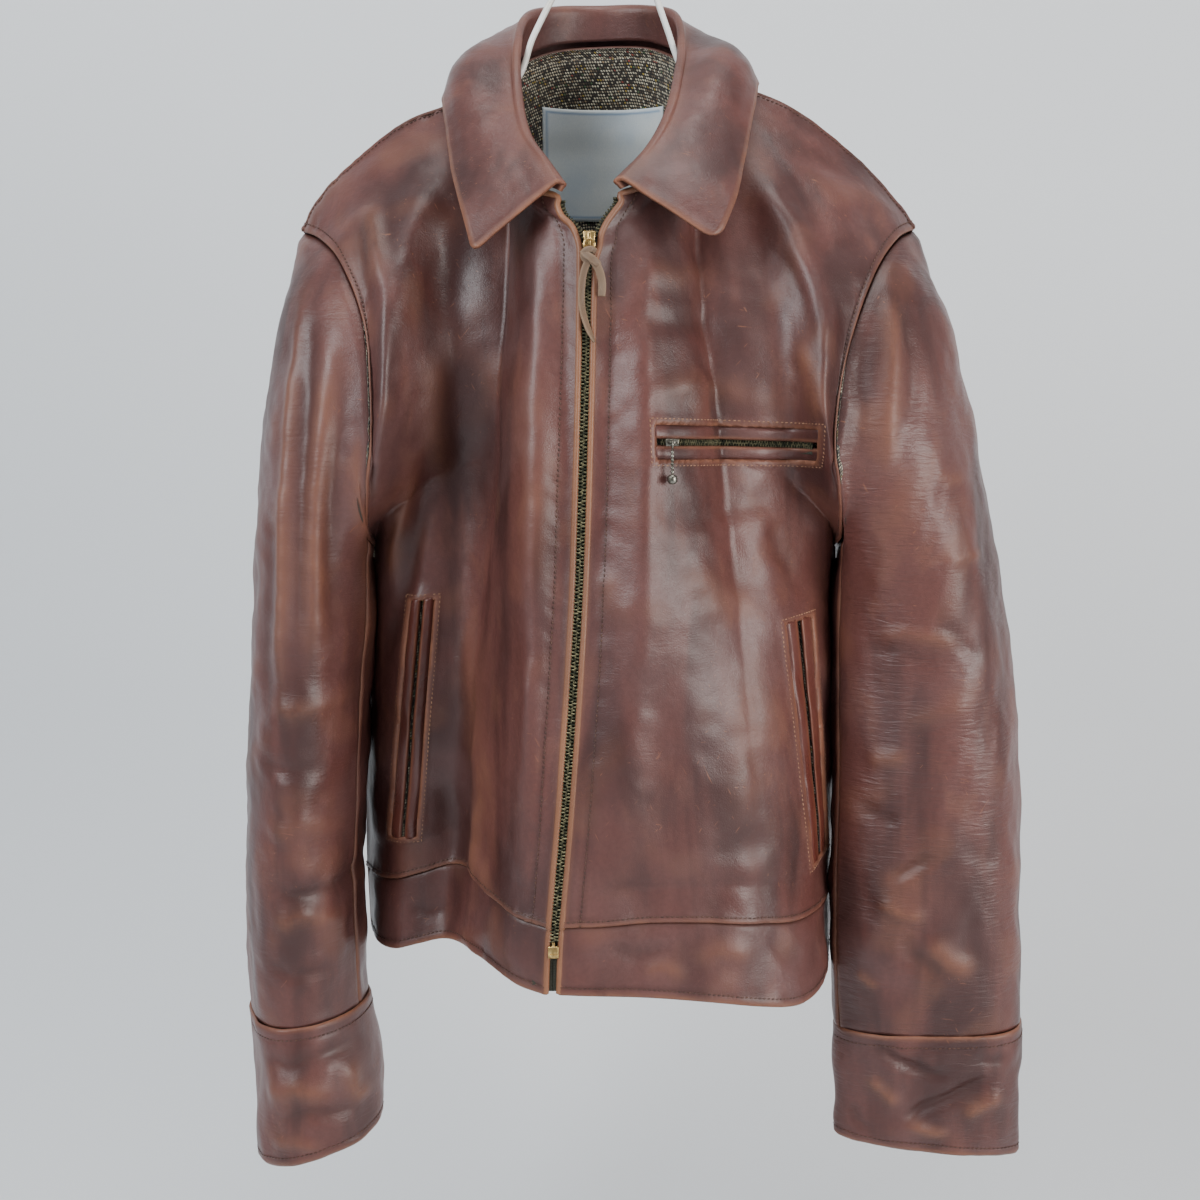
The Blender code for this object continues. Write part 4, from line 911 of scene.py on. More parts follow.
CREASES_BACK = [
    ([(-110, -330), (-96, -380), (-92, -450)], 7, 2.2),
    ([(96, -340), (84, -390), (80, -450)], 7, -2.2),
    ([(-70, -300), (-20, -318), (40, -306)], 10, 1.6),
    ([(-60, -520), (-20, -536), (30, -524)], 12, -1.8),
    ([(-134, -560), (-118, -610), (-112, -700)], 7, 2.4),
    ([(128, -560), (112, -620), (106, -700)], 7, 2.2),
    ([(-84, -640), (-60, -690), (-56, -730)], 9, -2.0),
    ([(60, -620), (72, -680), (66, -730)], 9, 1.8),
    ([(-150, -470), (-136, -510), (-128, -560)], 5, -2.4),
    ([(140, -470), (126, -520), (118, -560)], 5, -2.4),
]
BAND_CREASES = {
    "right": [
        ([(-152, -761), (-138, -768), (-116, -765)], 5, 1.4),
        ([(-109, -768), (-99, -783), (-88, -794)], 5, -1.6),
        ([(-81, -768), (-67, -779), (-49, -783)], 6, 1.4),
    ],
    "left": [
        ([(-10, -755), (17, -762), (43, -757)], 6, 1.6),
        ([(50, -769), (70, -758), (97, -767)], 7, -1.8),
        ([(103, -752), (117, -769), (132, -776)], 6, 1.8),
        ([(17, -776), (33, -769), (50, -778)], 5, -1.4),
    ],
    "back": [
        ([(-120, -760), (-90, -775), (-60, -768)], 6, 1.6),
        ([(40, -765), (80, -778), (120, -768)], 7, -1.6),
    ],
}
BODY = {
    "right": (
        patch(EDGES["top_right"], EDGES["hem_right"], EDGES["zip_right"], EDGES["side_right"],
              end_reach=SIDE_REACH, hem_reach=HEM_REACH),
        FOLDS_RIGHT, -1, (0, NECK_SHARE, 1), 230,
    ),
    "left": (
        patch(EDGES["top_left"], EDGES["hem_left"], EDGES["zip_left"], EDGES["side_left"],
              end_reach=SIDE_REACH),
        FOLDS_LEFT, -1, (0, NECK_SHARE, 1), 240,
    ),
    "back": (
        patch(EDGES["back_top"], EDGES["hem_back"], EDGES["back_side_right"], EDGES["back_side_left"],
              start_reach=SIDE_REACH, end_reach=SIDE_REACH, round_back=True),
        FOLDS_BACK, 1, (0, BACK_SHOULDER_SHARE, BACK_NECK_END_SHARE, 1), 440,
    ),
}
BODY_LENGTH = 600
pieces = {}
ARMHOLE_END = ARMHOLE_SHARE / BAND_SHARE
FRONT_EDGES = {"left": (0.6, 0.9), "right": (1.4, 0.55), "top": (0.4, 0.3), "bottom": (1.2, 0.6)}
BACK_EDGES = {"left": (0.6, 0.4), "right": (0.6, 0.4), "top": (-0.4, 0.2), "bottom": (1.0, 0.5)}
BAND_EDGES = {"left": (0.3, 0.7), "right": (0.2, 0.3), "top": (-0.6, 0.1), "bottom": (0.2, 0.8)}
FRONT_STITCHES = [
    ("left", 13, 0, 1), ("right", 6.5, 0, ARMHOLE_END), ("bottom", 4.5, 0, 1), ("top", 5, NECK_SHARE, 1),
]
BACK_STITCHES = [("left", 6.5, 0, ARMHOLE_END), ("right", 6.5, 0, ARMHOLE_END), ("bottom", 4.5, 0, 1)]
BAND_STITCHES = [("bottom", 6, 0, 1)]
STYLE = {
    "right": (FRONT_EDGES, FRONT_STITCHES, CREASES_RIGHT, 3, -1),
    "left": (FRONT_EDGES, FRONT_STITCHES, CREASES_LEFT, 11, 1),
    "back": (BACK_EDGES, BACK_STITCHES, CREASES_BACK, 19, -1),
}
panels = {}
for side, (surface, folds, towards, stops, width) in BODY.items():
    edges, stitches, creases, seed, facing = STYLE[side]
    fullness = FRONT_FULLNESS if towards < 0 else BACK_FULLNESS
    surface = creased(surface, folds, fullness, towards)
    across = fine_shares(stops, width, CELL)
    for kind, levels in (("panel", (0, ARMHOLE_SHARE, BAND_SHARE)), ("band", (BAND_SHARE, 1.0))):
        u, v = np.meshgrid(across, fine_shares(levels, BODY_LENGTH, CELL))
        if kind == "band":
            edges, stitches, creases, seed = BAND_EDGES, BAND_STITCHES, BAND_CREASES[side], seed + 3
        grid, wear, painted_shade = relief(surface(u, v), edges, stitches, creases, seed, facing)
        panels[side, kind] = grid, {"wear": wear, "painted_shade": painted_shade}, facing
        for edge, inset, low, high in stitches:
            stitch(*inset_line(grid, edge, inset, low, high, facing))
front_skin = skin_of(panels["right", "panel"][0], panels["left", "panel"][0])
print({key: value[0].shape for key, value in panels.items()})

# %% Cutting the body pieces
BODY_NODES = {
    ("right", "panel"): ("right_front", "front_right", (0.225, 0.64), 0.098),
    ("left", "panel"): ("left_front", "front_left", (0.235, 0.64), 0.104),
    ("back", "panel"): ("back_panel", "back", (0.46, 0.66), 0.20),
    ("right", "band"): ("right_front_band", "hem_band_front_right", (0.21, 0.056), None),
    ("left", "band"): ("left_front_band", "hem_band_front_left", (0.26, 0.056), None),
    ("back", "band"): ("back_band", "hem_band_back", (0.42, 0.056), None),
}


def cloth_area(obj):
    """Square metres of a piece's outer cells, before its wall."""
    return sum(face.area for face in obj.data.polygons)


def hung(obj, node, flat):
    """The piece stands for its solid and rides with the jacket; its laid area and its cut are printed."""
    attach(obj, "root")
    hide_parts(node)
    print(f"{obj.name}: {cloth_area(obj):.4f} m2 laid, cut {flat[0]:.3f} x {flat[1]:.3f} m")


for key, (name, node, flat, area) in BODY_NODES.items():
    grid, marks, facing = panels[key]
    pieces[name] = lay(name, grid, marks, HIDE, facing=facing, inside=TWEED)
    hung(pieces[name], node, flat)

# %% [markdown]
# ## Sleeves and cuffs
#
# A sleeve is a tube of rings, from the armhole down to the wrist. It starts tucked under the body's
# edge, falls in long soft folds and wrinkles at the elbow. Two seams part it into a top sleeve and an
# under sleeve, and the cuff laps over its lower end.

# %% Sleeves
AROUND = 20
FINE_AROUND = 6
FINE_DOWN = 22
FRONT_SEAM_CELL, BACK_SEAM_CELL, CUFF_RING = 9, 14, 9
CUFF_LAP, CUFF_TOP_ROW, CUFF_END_ROW = 1.9, 9, 7
SLEEVES = {
    "right": [
        ((-228, -318), (-176.5, -508), -90, 76, 23), ((-241, -372), (-175.5, -522), -90, 76, 9),
        ((-249.5, -435), (-175, -542), -88, 72, 1), ((-256, -510), (-175.5, -572), -86, 68, 0),
        ((-261, -585), (-178.5, -616), -84, 62, 0), ((-266, -660), (-181.5, -672), -82, 58, 0),
        ((-270, -735), (-185, -738), -80, 54, 0), ((-271, -792), (-185, -790), -75, 48, 0),
        ((-270, -840), (-184, -834), -68, 38, 0), ((-266, -892), (-176, -880), -72, 36, 0),
        ((-264, -950), (-174, -926), -70, 30, 0),
    ],
    "left": [
        ((226, -318), (162, -508), -88, 72, 26), ((240, -360), (159, -522), -86, 66, 12),
        ((255, -420), (158, -542), -82, 58, 4), ((270, -490), (157.5, -572), -78, 50, 0),
        ((283, -560), (158, -616), -74, 42, 0), ((294, -640), (159, -672), -72, 36, 0),
        ((298, -715), (158, -738), -70, 30, 0), ((301, -790), (159, -795), -66, 22, 0),
        ((303, -848), (162, -850), -58, 6, 0), ((301, -897), (164, -893), -54, -6, 0),
        ((299, -948), (165, -934), -50, -14, 0),
    ],
}


def sleeve_grid(front_armhole, back_armhole, stations, around, steps):
    """Rows of points down a sleeve, from the armhole to the end of the cuff."""
    shares = np.linspace(0, 1, around // 2 + 1)
    down_front = spline(front_armhole)(shares)
    up_back = reversed_curve(spline(back_armhole))(shares)
    rings = [np.vstack([down_front[:-1], up_back[:-1]])]
    turn = np.linspace(0, 2 * math.pi, around, endpoint=False)
    for (outer_x, outer_z), (inner_x, inner_z), front, back, bow in stations:
        middle = np.array([(outer_x + inner_x) / 2, (front + back) / 2, (outer_z + inner_z) / 2])
        across = np.array([(outer_x - inner_x) / 2, 0, (outer_z - inner_z) / 2])
        deep = np.array([0, (back - front) / 2, 0])
        inward = np.array([-math.copysign(bow, outer_x), 0, 0])
        ring = middle + np.cos(turn)[:, None] * across - np.sin(turn)[:, None] * deep
        rings.append(ring + (np.sin(turn) ** 2)[:, None] * inward)
    rings = np.array(rings)
    padded = np.concatenate([2 * rings[:1] - rings[1:2], rings, 2 * rings[-1:] - rings[-2:-1]])
    rows = []
    for a, b, c, d in zip(padded[:-3], padded[1:-2], padded[2:-1], padded[3:]):
        for step in range(steps):
            t = step / steps
            rows.append(between(a, b, c, d, t))
    rows.append(rings[-1])
    return np.array(rows)


def sleeve_folds(grid, depth, waves, twist):
    """The sleeve with its long soft folds, which fade towards the armhole and the cuff's end."""
    rows, columns = grid.shape[:2]
    out = grid - grid.mean(axis=1, keepdims=True)
    out /= np.linalg.norm(out, axis=-1, keepdims=True)
    down = np.linspace(0, 1, rows)[:, None]
    turn = np.linspace(0, 2 * math.pi, columns, endpoint=False)[None, :]
    outside = 0.5 + 0.5 * np.cos(turn)
    amount = depth * smooth_step(down / 0.3) * smooth_step((1 - down) / 0.12)
    return grid + (amount * np.cos(waves * turn + twist * down) * (0.35 + 0.65 * outside))[..., None] * out


SLEEVE_CREASES = {
    "right": [
        ([(-208, -298), (-213, -363), (-218, -428), (-222, -495), (-226, -563), (-226, -625)], 4.5, -2.8),
        ([(-201, -305), (-204, -395), (-208, -461), (-212, -529), (-214, -597)], 6, 2.6),
        ([(-182, -330), (-191, -395), (-199, -461), (-202, -529), (-201, -597)], 8, -3.4),
        ([(-177, -382), (-186, -441), (-192, -502), (-192, -570)], 6.5, 3.0),
        ([(-171, -408), (-172, -475), (-175, -542), (-175, -597)], 4.5, -2.4),
        ([(-230, -448), (-236, -529), (-240, -611)], 6, 2.0),
        ([(-239, -597), (-221, -605), (-193, -601), (-178, -590)], 7, -1.6),
        ([(-243, -639), (-222, -649), (-194, -646)], 7, 1.8),
        ([(-242, -695), (-216, -685), (-185, -694)], 8, -1.8),
        ([(-246, -723), (-224, -738), (-193, -734), (-181, -723)], 6, 2.2),
        ([(-242, -759), (-218, -752), (-189, -763)], 7, -2.0),
        ([(-245, -788), (-226, -799), (-198, -792)], 5, 1.8),
    ],
    "left": [
        ([(223, -503), (239, -501), (255, -500)], 3.5, -1.2),
        ([(174, -557), (198, -553), (222, -557), (239, -564)], 5, -1.6),
        ([(221, -544), (235, -557), (256, -577)], 4, 1.4),
        ([(169, -568), (195, -566), (219, -573)], 4.5, 1.4),
        ([(175, -645), (190, -643), (207, -640)], 6, -1.8),
        ([(196, -620), (223, -607), (250, -603)], 6, -1.2),
        ([(170, -678), (187, -685), (201, -691)], 5.5, 2.6),
        ([(191, -732), (207, -721), (225, -709)], 4.5, 3.4),
        ([(185, -745), (203, -754), (223, -758)], 6, -2.6),
        ([(218, -770), (236, -788), (261, -801)], 8, -3.0),
        ([(203, -766), (211, -785), (232, -803)], 6, 2.4),
        ([(173, -802), (181, -808), (190, -815)], 3.5, -1.6),
        ([(179, -476), (183, -503), (180, -530)], 6, -1.0),
        ([(181, -310), (185, -356), (181, -409), (179, -462)], 7, -2.2),
        ([(163, -330), (162, -382), (164, -435)], 7, 2.2),
        ([(194, -330), (198, -376), (198, -422)], 6, 1.5),
        ([(240, -698), (258, -712), (272, -719)], 7, 1.6),
        ([(252, -741), (249, -777), (261, -807)], 7, 1.4),
        ([(212, -442), (225, -449), (242, -447)], 4, -1.0),
    ],
}
CUFF_CREASES = {
    "right": [
        ([(-253, -859), (-233, -865), (-204, -858), (-181, -855)], 6, 2.0),
        ([(-251, -888), (-226, -880), (-197, -889)], 7, -2.2),
        ([(-241, -911), (-219, -899), (-183, -903)], 6, 2.4),
        ([(-249, -926), (-227, -922), (-205, -928)], 5, -1.6),
        ([(-193, -865), (-189, -888), (-179, -903)], 5, -2.0),
    ],
    "left": [
        ([(178, -865), (195, -862), (209, -870), (231, -879), (250, -876)], 4, 2.8),
        ([(183, -880), (195, -892), (209, -905)], 5, -2.4),
        ([(207, -920), (225, -905), (249, -894), (281, -877)], 5, 3.4),
        ([(250, -911), (268, -903), (284, -894)], 6, -3.2),
        ([(210, -915), (229, -923), (247, -926)], 4.5, -2.0),
        ([(259, -865), (274, -870), (286, -867)], 5, 1.8),
        ([(174, -903), (179, -918), (193, -928)], 4, 1.6),
    ],
}
CREPE = {"right": 0.3, "left": 1.0}
SLEEVE_WAVES = {"right": (3.0, 3, 2.0), "left": (2.6, 4, 3.0)}
ARMHOLES = {
    "right": (ARMHOLE_FRONT_RIGHT, ARMHOLE_BACK_RIGHT),
    "left": (ARMHOLE_FRONT_LEFT, ARMHOLE_BACK_LEFT),
}
for side, stations in SLEEVES.items():
    facing = 1 if side == "right" else -1
    sleeve = sleeve_grid(*ARMHOLES[side], stations, AROUND * FINE_AROUND, FINE_DOWN)
    sleeve = sleeve_folds(sleeve, *SLEEVE_WAVES[side])
    rows = FINE_DOWN * CUFF_RING
    around = sleeve.shape[1]
    over = np.arange(BACK_SEAM_CELL * FINE_AROUND, (FRONT_SEAM_CELL + AROUND) * FINE_AROUND + 1) % around
    under = np.arange(FRONT_SEAM_CELL * FINE_AROUND, BACK_SEAM_CELL * FINE_AROUND + 1)
    for kind, columns, seed in (("top_sleeve", over, 31), ("under_sleeve", under, 37)):
        edges = {"left": (0.9, 0.8), "right": (0.9, 0.8), "top": (-2.2, 0.0), "bottom": (0, 0.0)}
        grid, wear, painted_shade = relief(
            sleeve[: rows + 1, columns], edges, [], SLEEVE_CREASES[side], seed + facing, facing,
            lump=(1.0, 0.28),
        )
        name = f"{side}_{kind}"
        marks = {"wear": wear, "painted_shade": painted_shade, "crepe": np.full(wear.shape, CREPE[side])}
        pieces[name] = lay(name, grid, marks, HIDE, facing=facing, inside=SLEEVE_LINING)
        flat = (0.29, 0.66) if kind == "top_sleeve" else (0.095, 0.45)
        hung(pieces[name], f"{kind}_{side}", flat)
    cuff = sleeve[rows:]
    out = normals_of(cuff, facing, closed=True)
    down = lengths_along(cuff, 0)
    up = down[-1:] - down
    lift = CUFF_LAP - 0.9 * np.clip(1 - down / 1.6, 0, 1) ** 2
    lift -= ROLL_OVER * np.clip(1 - up / ROLL_OVER_WIDTH, 0, 1) ** 2
    for gap in (down - CUFF_TOP_ROW, up - CUFF_END_ROW):
        lift -= STITCH_GROOVE * np.exp(-((gap / 1.4) ** 2))
    lift += 0.9 * lumps(cuff, 22, 41 + facing) + 0.3 * lumps(cuff, 8, 43 + facing)
    wear = np.maximum(0.85 * np.exp(-((down / 2.2) ** 2)), 0.9 * np.exp(-((up / 2.6) ** 2)))
    # Painted shade: the cuff's crease troughs are marked to be darkened in the colour.
    push, worn, painted_shade = creasing(cuff, CUFF_CREASES[side])
    lift -= push
    wear = np.maximum(wear, worn)
    cuff = cuff + lift[..., None] * out
    name = f"{side}_cuff"
    marks = {"wear": wear, "painted_shade": painted_shade, "crepe": np.full(wear.shape, CREPE[side])}
    pieces[name] = lay(name, cuff, marks, HIDE, facing=facing, closed=True, inside=SLEEVE_LINING)
    hung(pieces[name], f"cuff_{side}", (0.34, 0.085))
    stitch(*inset_line(wrapped(cuff), "top", CUFF_TOP_ROW, 0, 1, facing))
    stitch(*inset_line(wrapped(cuff), "bottom", CUFF_END_ROW, 0, 1, facing))

# %% [markdown]
# ## The turned-down collar
#
# The collar is one shape that climbs from the neck seam as a stand, rolls over and falls as a leaf with
# two points. Its middle surface is lofted across eight rows, and the wall is given to both sides.

# %% Collar
COLLAR_STATIONS = [
    ((-37, -98, -266), (-36, -103, -258), (-91, -114, -303)),
    ((-57, -85, -254), (-47, -88, -241), (-99, -97, -274)),
    ((-74, -56, -226), (-60, -65, -220), (-107, -72, -246)),
    ((-82, -24, -192), (-67, -35, -189), (-114, -38, -208)),
    ((-83, 0, -176), (-69, -5, -152), (-119, -8, -187)),
    ((-74, 30, -159), (-63, 30, -123), (-117, 28, -190)),
    ((-46, 54, -143), (-42, 52, -113), (-84, 68, -188)),
    ((-10, 62, -138), (-10, 62, -110), (-10, 92, -184)),
    ((26, 54, -140), (22, 52, -112), (60, 68, -184)),
    ((50, 30, -154), (44, 30, -122), (94, 28, -184)),
    ((60, 0, -170), (48, -2, -150), (98, -8, -180)),
    ((56, -24, -186), (44, -33, -178), (93, -38, -202)),
    ((46, -56, -220), (37, -62, -206), (84, -72, -240)),
    ((27, -84, -250), (24, -85, -232), (77, -98, -268)),
    ((6, -98, -265), (3, -103, -256), (65, -114, -297)),
]
ROLL_HALF_WIDTH, ROLL_DROP, COLLAR_WALL = 3.6, 3.2, 2.8
LEAF_BULGE, LEAF_CLEAR, FOOT_CLEAR = 13.0, 3.8, 3.8
ROLL_ROW, LAST_ROLLED_ROW, LEAF_ROW = 15, 22, 24
SHOULDER_RISES = ((0.286, 0.1, 9.0), (0.714, 0.1, 11.0))
BODY_CENTRE_X, FLAT_HALF_WIDTH, FLAT_TOP = -6.0, 60.0, -230.0


def body_outward(points):
    """The way out of the body at each point: away from a flat plate inside it."""
    x = points[..., 0] - BODY_CENTRE_X
    plate_x = np.clip(x, -FLAT_HALF_WIDTH, FLAT_HALF_WIDTH)
    plate_z = np.minimum(points[..., 2], FLAT_TOP - 0.4 * np.abs(plate_x))
    out = np.stack([x - plate_x, points[..., 1], points[..., 2] - plate_z], axis=-1)
    return out / np.linalg.norm(out, axis=-1, keepdims=True)


def collar_rows(skin, cells):
    """Middle surface of the collar, from its seam up the stand, over the roll and down the leaf."""
    shares = np.linspace(0, 1, cells + 1)
    seam, roll, edge = (spline([station[i] for station in COLLAR_STATIONS])(shares) for i in range(3))
    away = edge - seam
    away[:, 2] = 0
    away /= np.linalg.norm(away, axis=1, keepdims=True)
    up = np.array([0, 0, 1.0])
    short = np.clip(np.linalg.norm(roll - seam, axis=1) / 24, 0.3, 1)[:, None]
    inside = roll - ROLL_HALF_WIDTH * away - ROLL_DROP * short * up
    outside = roll + ROLL_HALF_WIDTH * away - ROLL_DROP * short * up
    foot = seam + FOOT_CLEAR * (inside - seam) / np.linalg.norm(inside - seam, axis=1, keepdims=True)
    foot += 0.5 * body_outward(seam)
    rise = LEAF_BULGE * np.sin(math.pi * shares) ** 0.6
    for place, reach, height in SHOULDER_RISES:
        rise = rise + height * np.exp(-(((shares - place) / reach) ** 2))
    leaf = []
    for share, bulge in ((0.3, 0.85), (0.65, 0.8), (1.0, 0.0)):
        bulged = (rise * bulge)[:, None] * (0.55 * away + 0.85 * up)
        leaf.append(outside + share * (edge - outside) + bulged)
    for point in foot:
        gap = (Vector(point) - skin.find_nearest(Vector(point))[0]).length
        point[2] += max(0.0, FOOT_CLEAR - gap)
    rows = np.array([foot, (foot + inside) / 2, inside, roll, outside, *leaf])
    lowest_clear = COLLAR_WALL / 2 + LEAF_CLEAR
    for row in rows[4:]:
        for point in row:
            near = Vector(point)
            found = skin.find_nearest(near)[0]
            out = Vector(body_outward(np.array(found)[None])[0])
            above, gap = (near - found).dot(out), (near - found).length
            if above < -0.5 * gap:
                point[:] = found + lowest_clear * out
            elif gap < lowest_clear:
                point[:] = near + (lowest_clear - gap) * out
    return rows


def through_rows(rows, steps):
    """More rows between the given ones, on smooth curves through them."""
    padded = np.concatenate([2 * rows[:1] - rows[1:2], rows, 2 * rows[-1:] - rows[-2:-1]])
    found = []
    for a, b, c, d in zip(padded[:-3], padded[1:-2], padded[2:-1], padded[3:]):
        for t in np.arange(steps) / steps:
            found.append(between(a, b, c, d, t))
    return np.array(found + [rows[-1]])


def rounded_corner(grid, side, radius):
    """The sheet with its lower left or lower right corner rounded off."""
    distance = edge_distances(grid)
    near_side = np.clip(1 - distance[side] / radius, 0, 1)
    near_bottom = np.clip(1 - distance["bottom"] / radius, 0, 1)
    across, down = np.gradient(grid, axis=1), np.gradient(grid, axis=0)
    across *= (1 if side == "right" else -1) / np.linalg.norm(across, axis=-1, keepdims=True)
    down /= np.linalg.norm(down, axis=-1, keepdims=True)
    back = radius * near_side * (1 - np.sqrt(1 - near_bottom**2 / 2))
    up = radius * near_bottom * (1 - np.sqrt(1 - near_side**2 / 2))
    return grid - back[..., None] * across - up[..., None] * down


body_skin = skin_of(*(panels[side, "panel"][0] for side in ("right", "left", "back")))
collar = through_rows(collar_rows(body_skin, 170), 5)
collar = np.swapaxes(through_rows(np.swapaxes(collar, 0, 1), 1), 0, 1)
inner = np.linspace(0.01, 0.99, collar.shape[1] - 6)
across = np.concatenate([[0, 0.0012, 0.003, 0.006], inner, [0.994, 0.997, 0.9988, 1]])
columns = across * (collar.shape[1] - 1)
low = np.clip(columns.astype(int), 0, collar.shape[1] - 2)
collar = collar[:, low] + (columns - low)[None, :, None] * (collar[:, low + 1] - collar[:, low])
collar = rounded_corner(rounded_corner(collar, "left", 7.0), "right", 13.0)
out = normals_of(collar, -1)
distance = edge_distances(collar)
edge_gap = np.minimum.reduce([distance["left"], distance["right"], distance["bottom"]])
wear = 0.85 * np.exp(-((edge_gap / 2.2) ** 2))
roll_gap = np.abs(distance["top"] - distance["top"][ROLL_ROW : ROLL_ROW + 1])
wear = np.maximum(wear, 0.25 * np.exp(-((roll_gap / 7) ** 2)))
leafed = np.arange(collar.shape[0])[:, None] > LAST_ROLLED_ROW
lift = leafed * (0.5 * lumps(collar, 24, 51) + 0.2 * lumps(collar, 8, 52))
lift -= leafed * 0.55 * np.exp(-(((edge_gap - 6.0) / 1.4) ** 2))
lift += leafed * 0.5 * np.exp(-(((edge_gap - 2.4) / 2.0) ** 2))
collar = collar + lift[..., None] * out
marks = {"wear": wear, "painted_shade": 0 * wear}
pieces["collar_leather"] = lay("collar_leather", collar, marks, HIDE, wall=0, facing=-1)
solid = pieces["collar_leather"].modifiers.new("wall", "SOLIDIFY")
solid.thickness = COLLAR_WALL * MM
solid.offset = 0.0
hung(pieces["collar_leather"], "collar", (0.50, 0.125))

# %% [markdown]
# ## Collar stitches and rolled front edges
#
# One stitch row follows the leaf 5.5 mm inside its edge. Beside the zip each front's edge is
# rolled over a cord, and the dye has worn off it to the tan below, so it is a round strip of its own.


# %% Collar stitches
leaf = collar[LEAF_ROW:]
for side, low_share, high_share in (("left", 0.0, 0.93), ("right", 0.0, 0.93), ("bottom", 0.012, 0.988)):
    stitch(*inset_line(leaf, side, 5.5, low_share, high_share, -1))


# %% Tubes, and pieces that only trim
def trim(obj, body, slot, *nodes):
    """A small piece rides with its body and may stand for solids. Its slot is not used."""
    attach(obj, body)
    if nodes:
        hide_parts(*nodes)
    return obj


def tube(name, points, diameter, finish):
    """A bent wire or rolled edge: a curve with a round section and closed ends."""
    curve = bpy.data.curves.new(name, "CURVE")
    curve.dimensions = "3D"
    curve.bevel_depth = diameter / 2 * MM
    curve.bevel_resolution = 4
    curve.use_fill_caps = True
    line = curve.splines.new("POLY")
    line.points.add(len(points) - 1)
    for point, place in zip(line.points, points):
        point.co = (*(Vector(place) * MM), 1)
    line.use_smooth = True
    curve.materials.append(finish)
    obj = bpy.data.objects.new(name, curve)
    bpy.context.scene.collection.objects.link(obj)
    return obj


ROLL = 4.2
UNDER_COLLAR = {"right": [(-50, -92, -262), (-42, -96, -264)], "left": [(18, -92, -259), (9, -96, -262)]}
for side in ("right", "left"):
    whole = np.concatenate([panels[side, "panel"][0][:, 1], panels[side, "band"][0][1:, 1]])
    whole = np.concatenate([np.array(UNDER_COLLAR[side], float), whole[2::3]])
    whole = spline(whole, 4)(np.linspace(0.0, 1.0, 260))
    whole[:, 1] += 0.9
    trim(tube(f"{side}_rolled_edge", whole, ROLL, ROLLED_HIDE), "root", "hide")

# %% [markdown]
# ## Neck lining and label
#
# Inside the back of the neck the tweed shows, with a plain satin label sewn on it. Both follow the
# back panel's inner face.

# %% Lining and label
LINING_BEHIND, LINING_DOWN = 7.5, 0.252
across = np.linspace(BACK_SHOULDER_SHARE + 0.006, BACK_NECK_END_SHARE - 0.006, 60)
u, v = np.meshgrid(across, np.linspace(0.006, LINING_DOWN, 50))
back_surface = creased(BODY["back"][0], FOLDS_BACK, BACK_FULLNESS, 1)
lining = back_surface(u, v)
lining = lining - (LINING_BEHIND - 1.0 + 0.5 * lumps(lining, 18, 61)[..., None]) * body_outward(lining)
pieces["neck_tweed"] = lay("neck_tweed", lining, {}, TWEED, wall=1.2, facing=1)
hung(pieces["neck_tweed"], "neck_lining", (0.21, 0.15))

LABEL_LEFT, LABEL_RIGHT, LABEL_TOP, LABEL_BOTTOM = -52, 36, -183, -262
lining_skin = skin_of(lining)
x, z = np.meshgrid(np.linspace(LABEL_LEFT, LABEL_RIGHT, 60), np.linspace(LABEL_TOP, LABEL_BOTTOM, 54))
y = np.array([[depth_at(lining_skin, px, pz) for px, pz in zip(*row)] for row in zip(x, z)])
label = np.stack([x, y, z], axis=-1)
distance = edge_distances(label)
gap = np.minimum.reduce(list(distance.values()))
label[..., 1] -= 1.5 + 0.35 * lumps(label, 20, 63) - 0.7 * np.exp(-((gap / 1.2) ** 2))
border = np.exp(-(((gap - 3.2) / 0.8) ** 4))
pieces["plain_label"] = lay("plain_label", label, {"border": border}, SATIN, wall=0.7, facing=1)
hung(pieces["plain_label"], "neck_label", (0.088, 0.079))

# %% [markdown]
# ## Pocket windows and lips
#
# A welted pocket is a slot cut in the front, with two folded lips behind its edge. `bisect_plane` cuts
# the panel's cells along the four sides of the slot, so the stitched frame stays whole round it.

# %% Pocket windows
BREAST_WINDOW = [(26, -411), (133, -415), (134, -436), (27, -433)]
RIGHT_HAND_WINDOW = [(-144, -536), (-127, -535), (-144, -711), (-164, -713)]
LEFT_HAND_WINDOW = [(117, -547), (137, -545), (154, -716), (141, -720)]


def quad_point(corners, u, v):
    """A point of a window, over u from left to right and v from top to bottom."""
    (a, b, c, d) = (np.array(corner, float) for corner in corners)
    return (1 - v) * ((1 - u) * a + u * b) + v * ((1 - u) * d + u * c)


def outside_quad(x, z, corners):
    """How far X, Z lies outside the window, in millimetres, and below 0 inside it."""
    far = np.full(np.shape(x), -1e9)
    for (ax, az), (bx, bz) in zip(corners, corners[1:] + corners[:1]):
        length = math.hypot(bx - ax, bz - az)
        far = np.maximum(far, ((bx - ax) * (z - az) - (bz - az) * (x - ax)) / length)
    return far


def from_window(face, corners):
    """How far a cell's middle lies outside the window, in millimetres."""
    middle = face.calc_center_median()
    return outside_quad(middle.x / MM, middle.z / MM, corners)


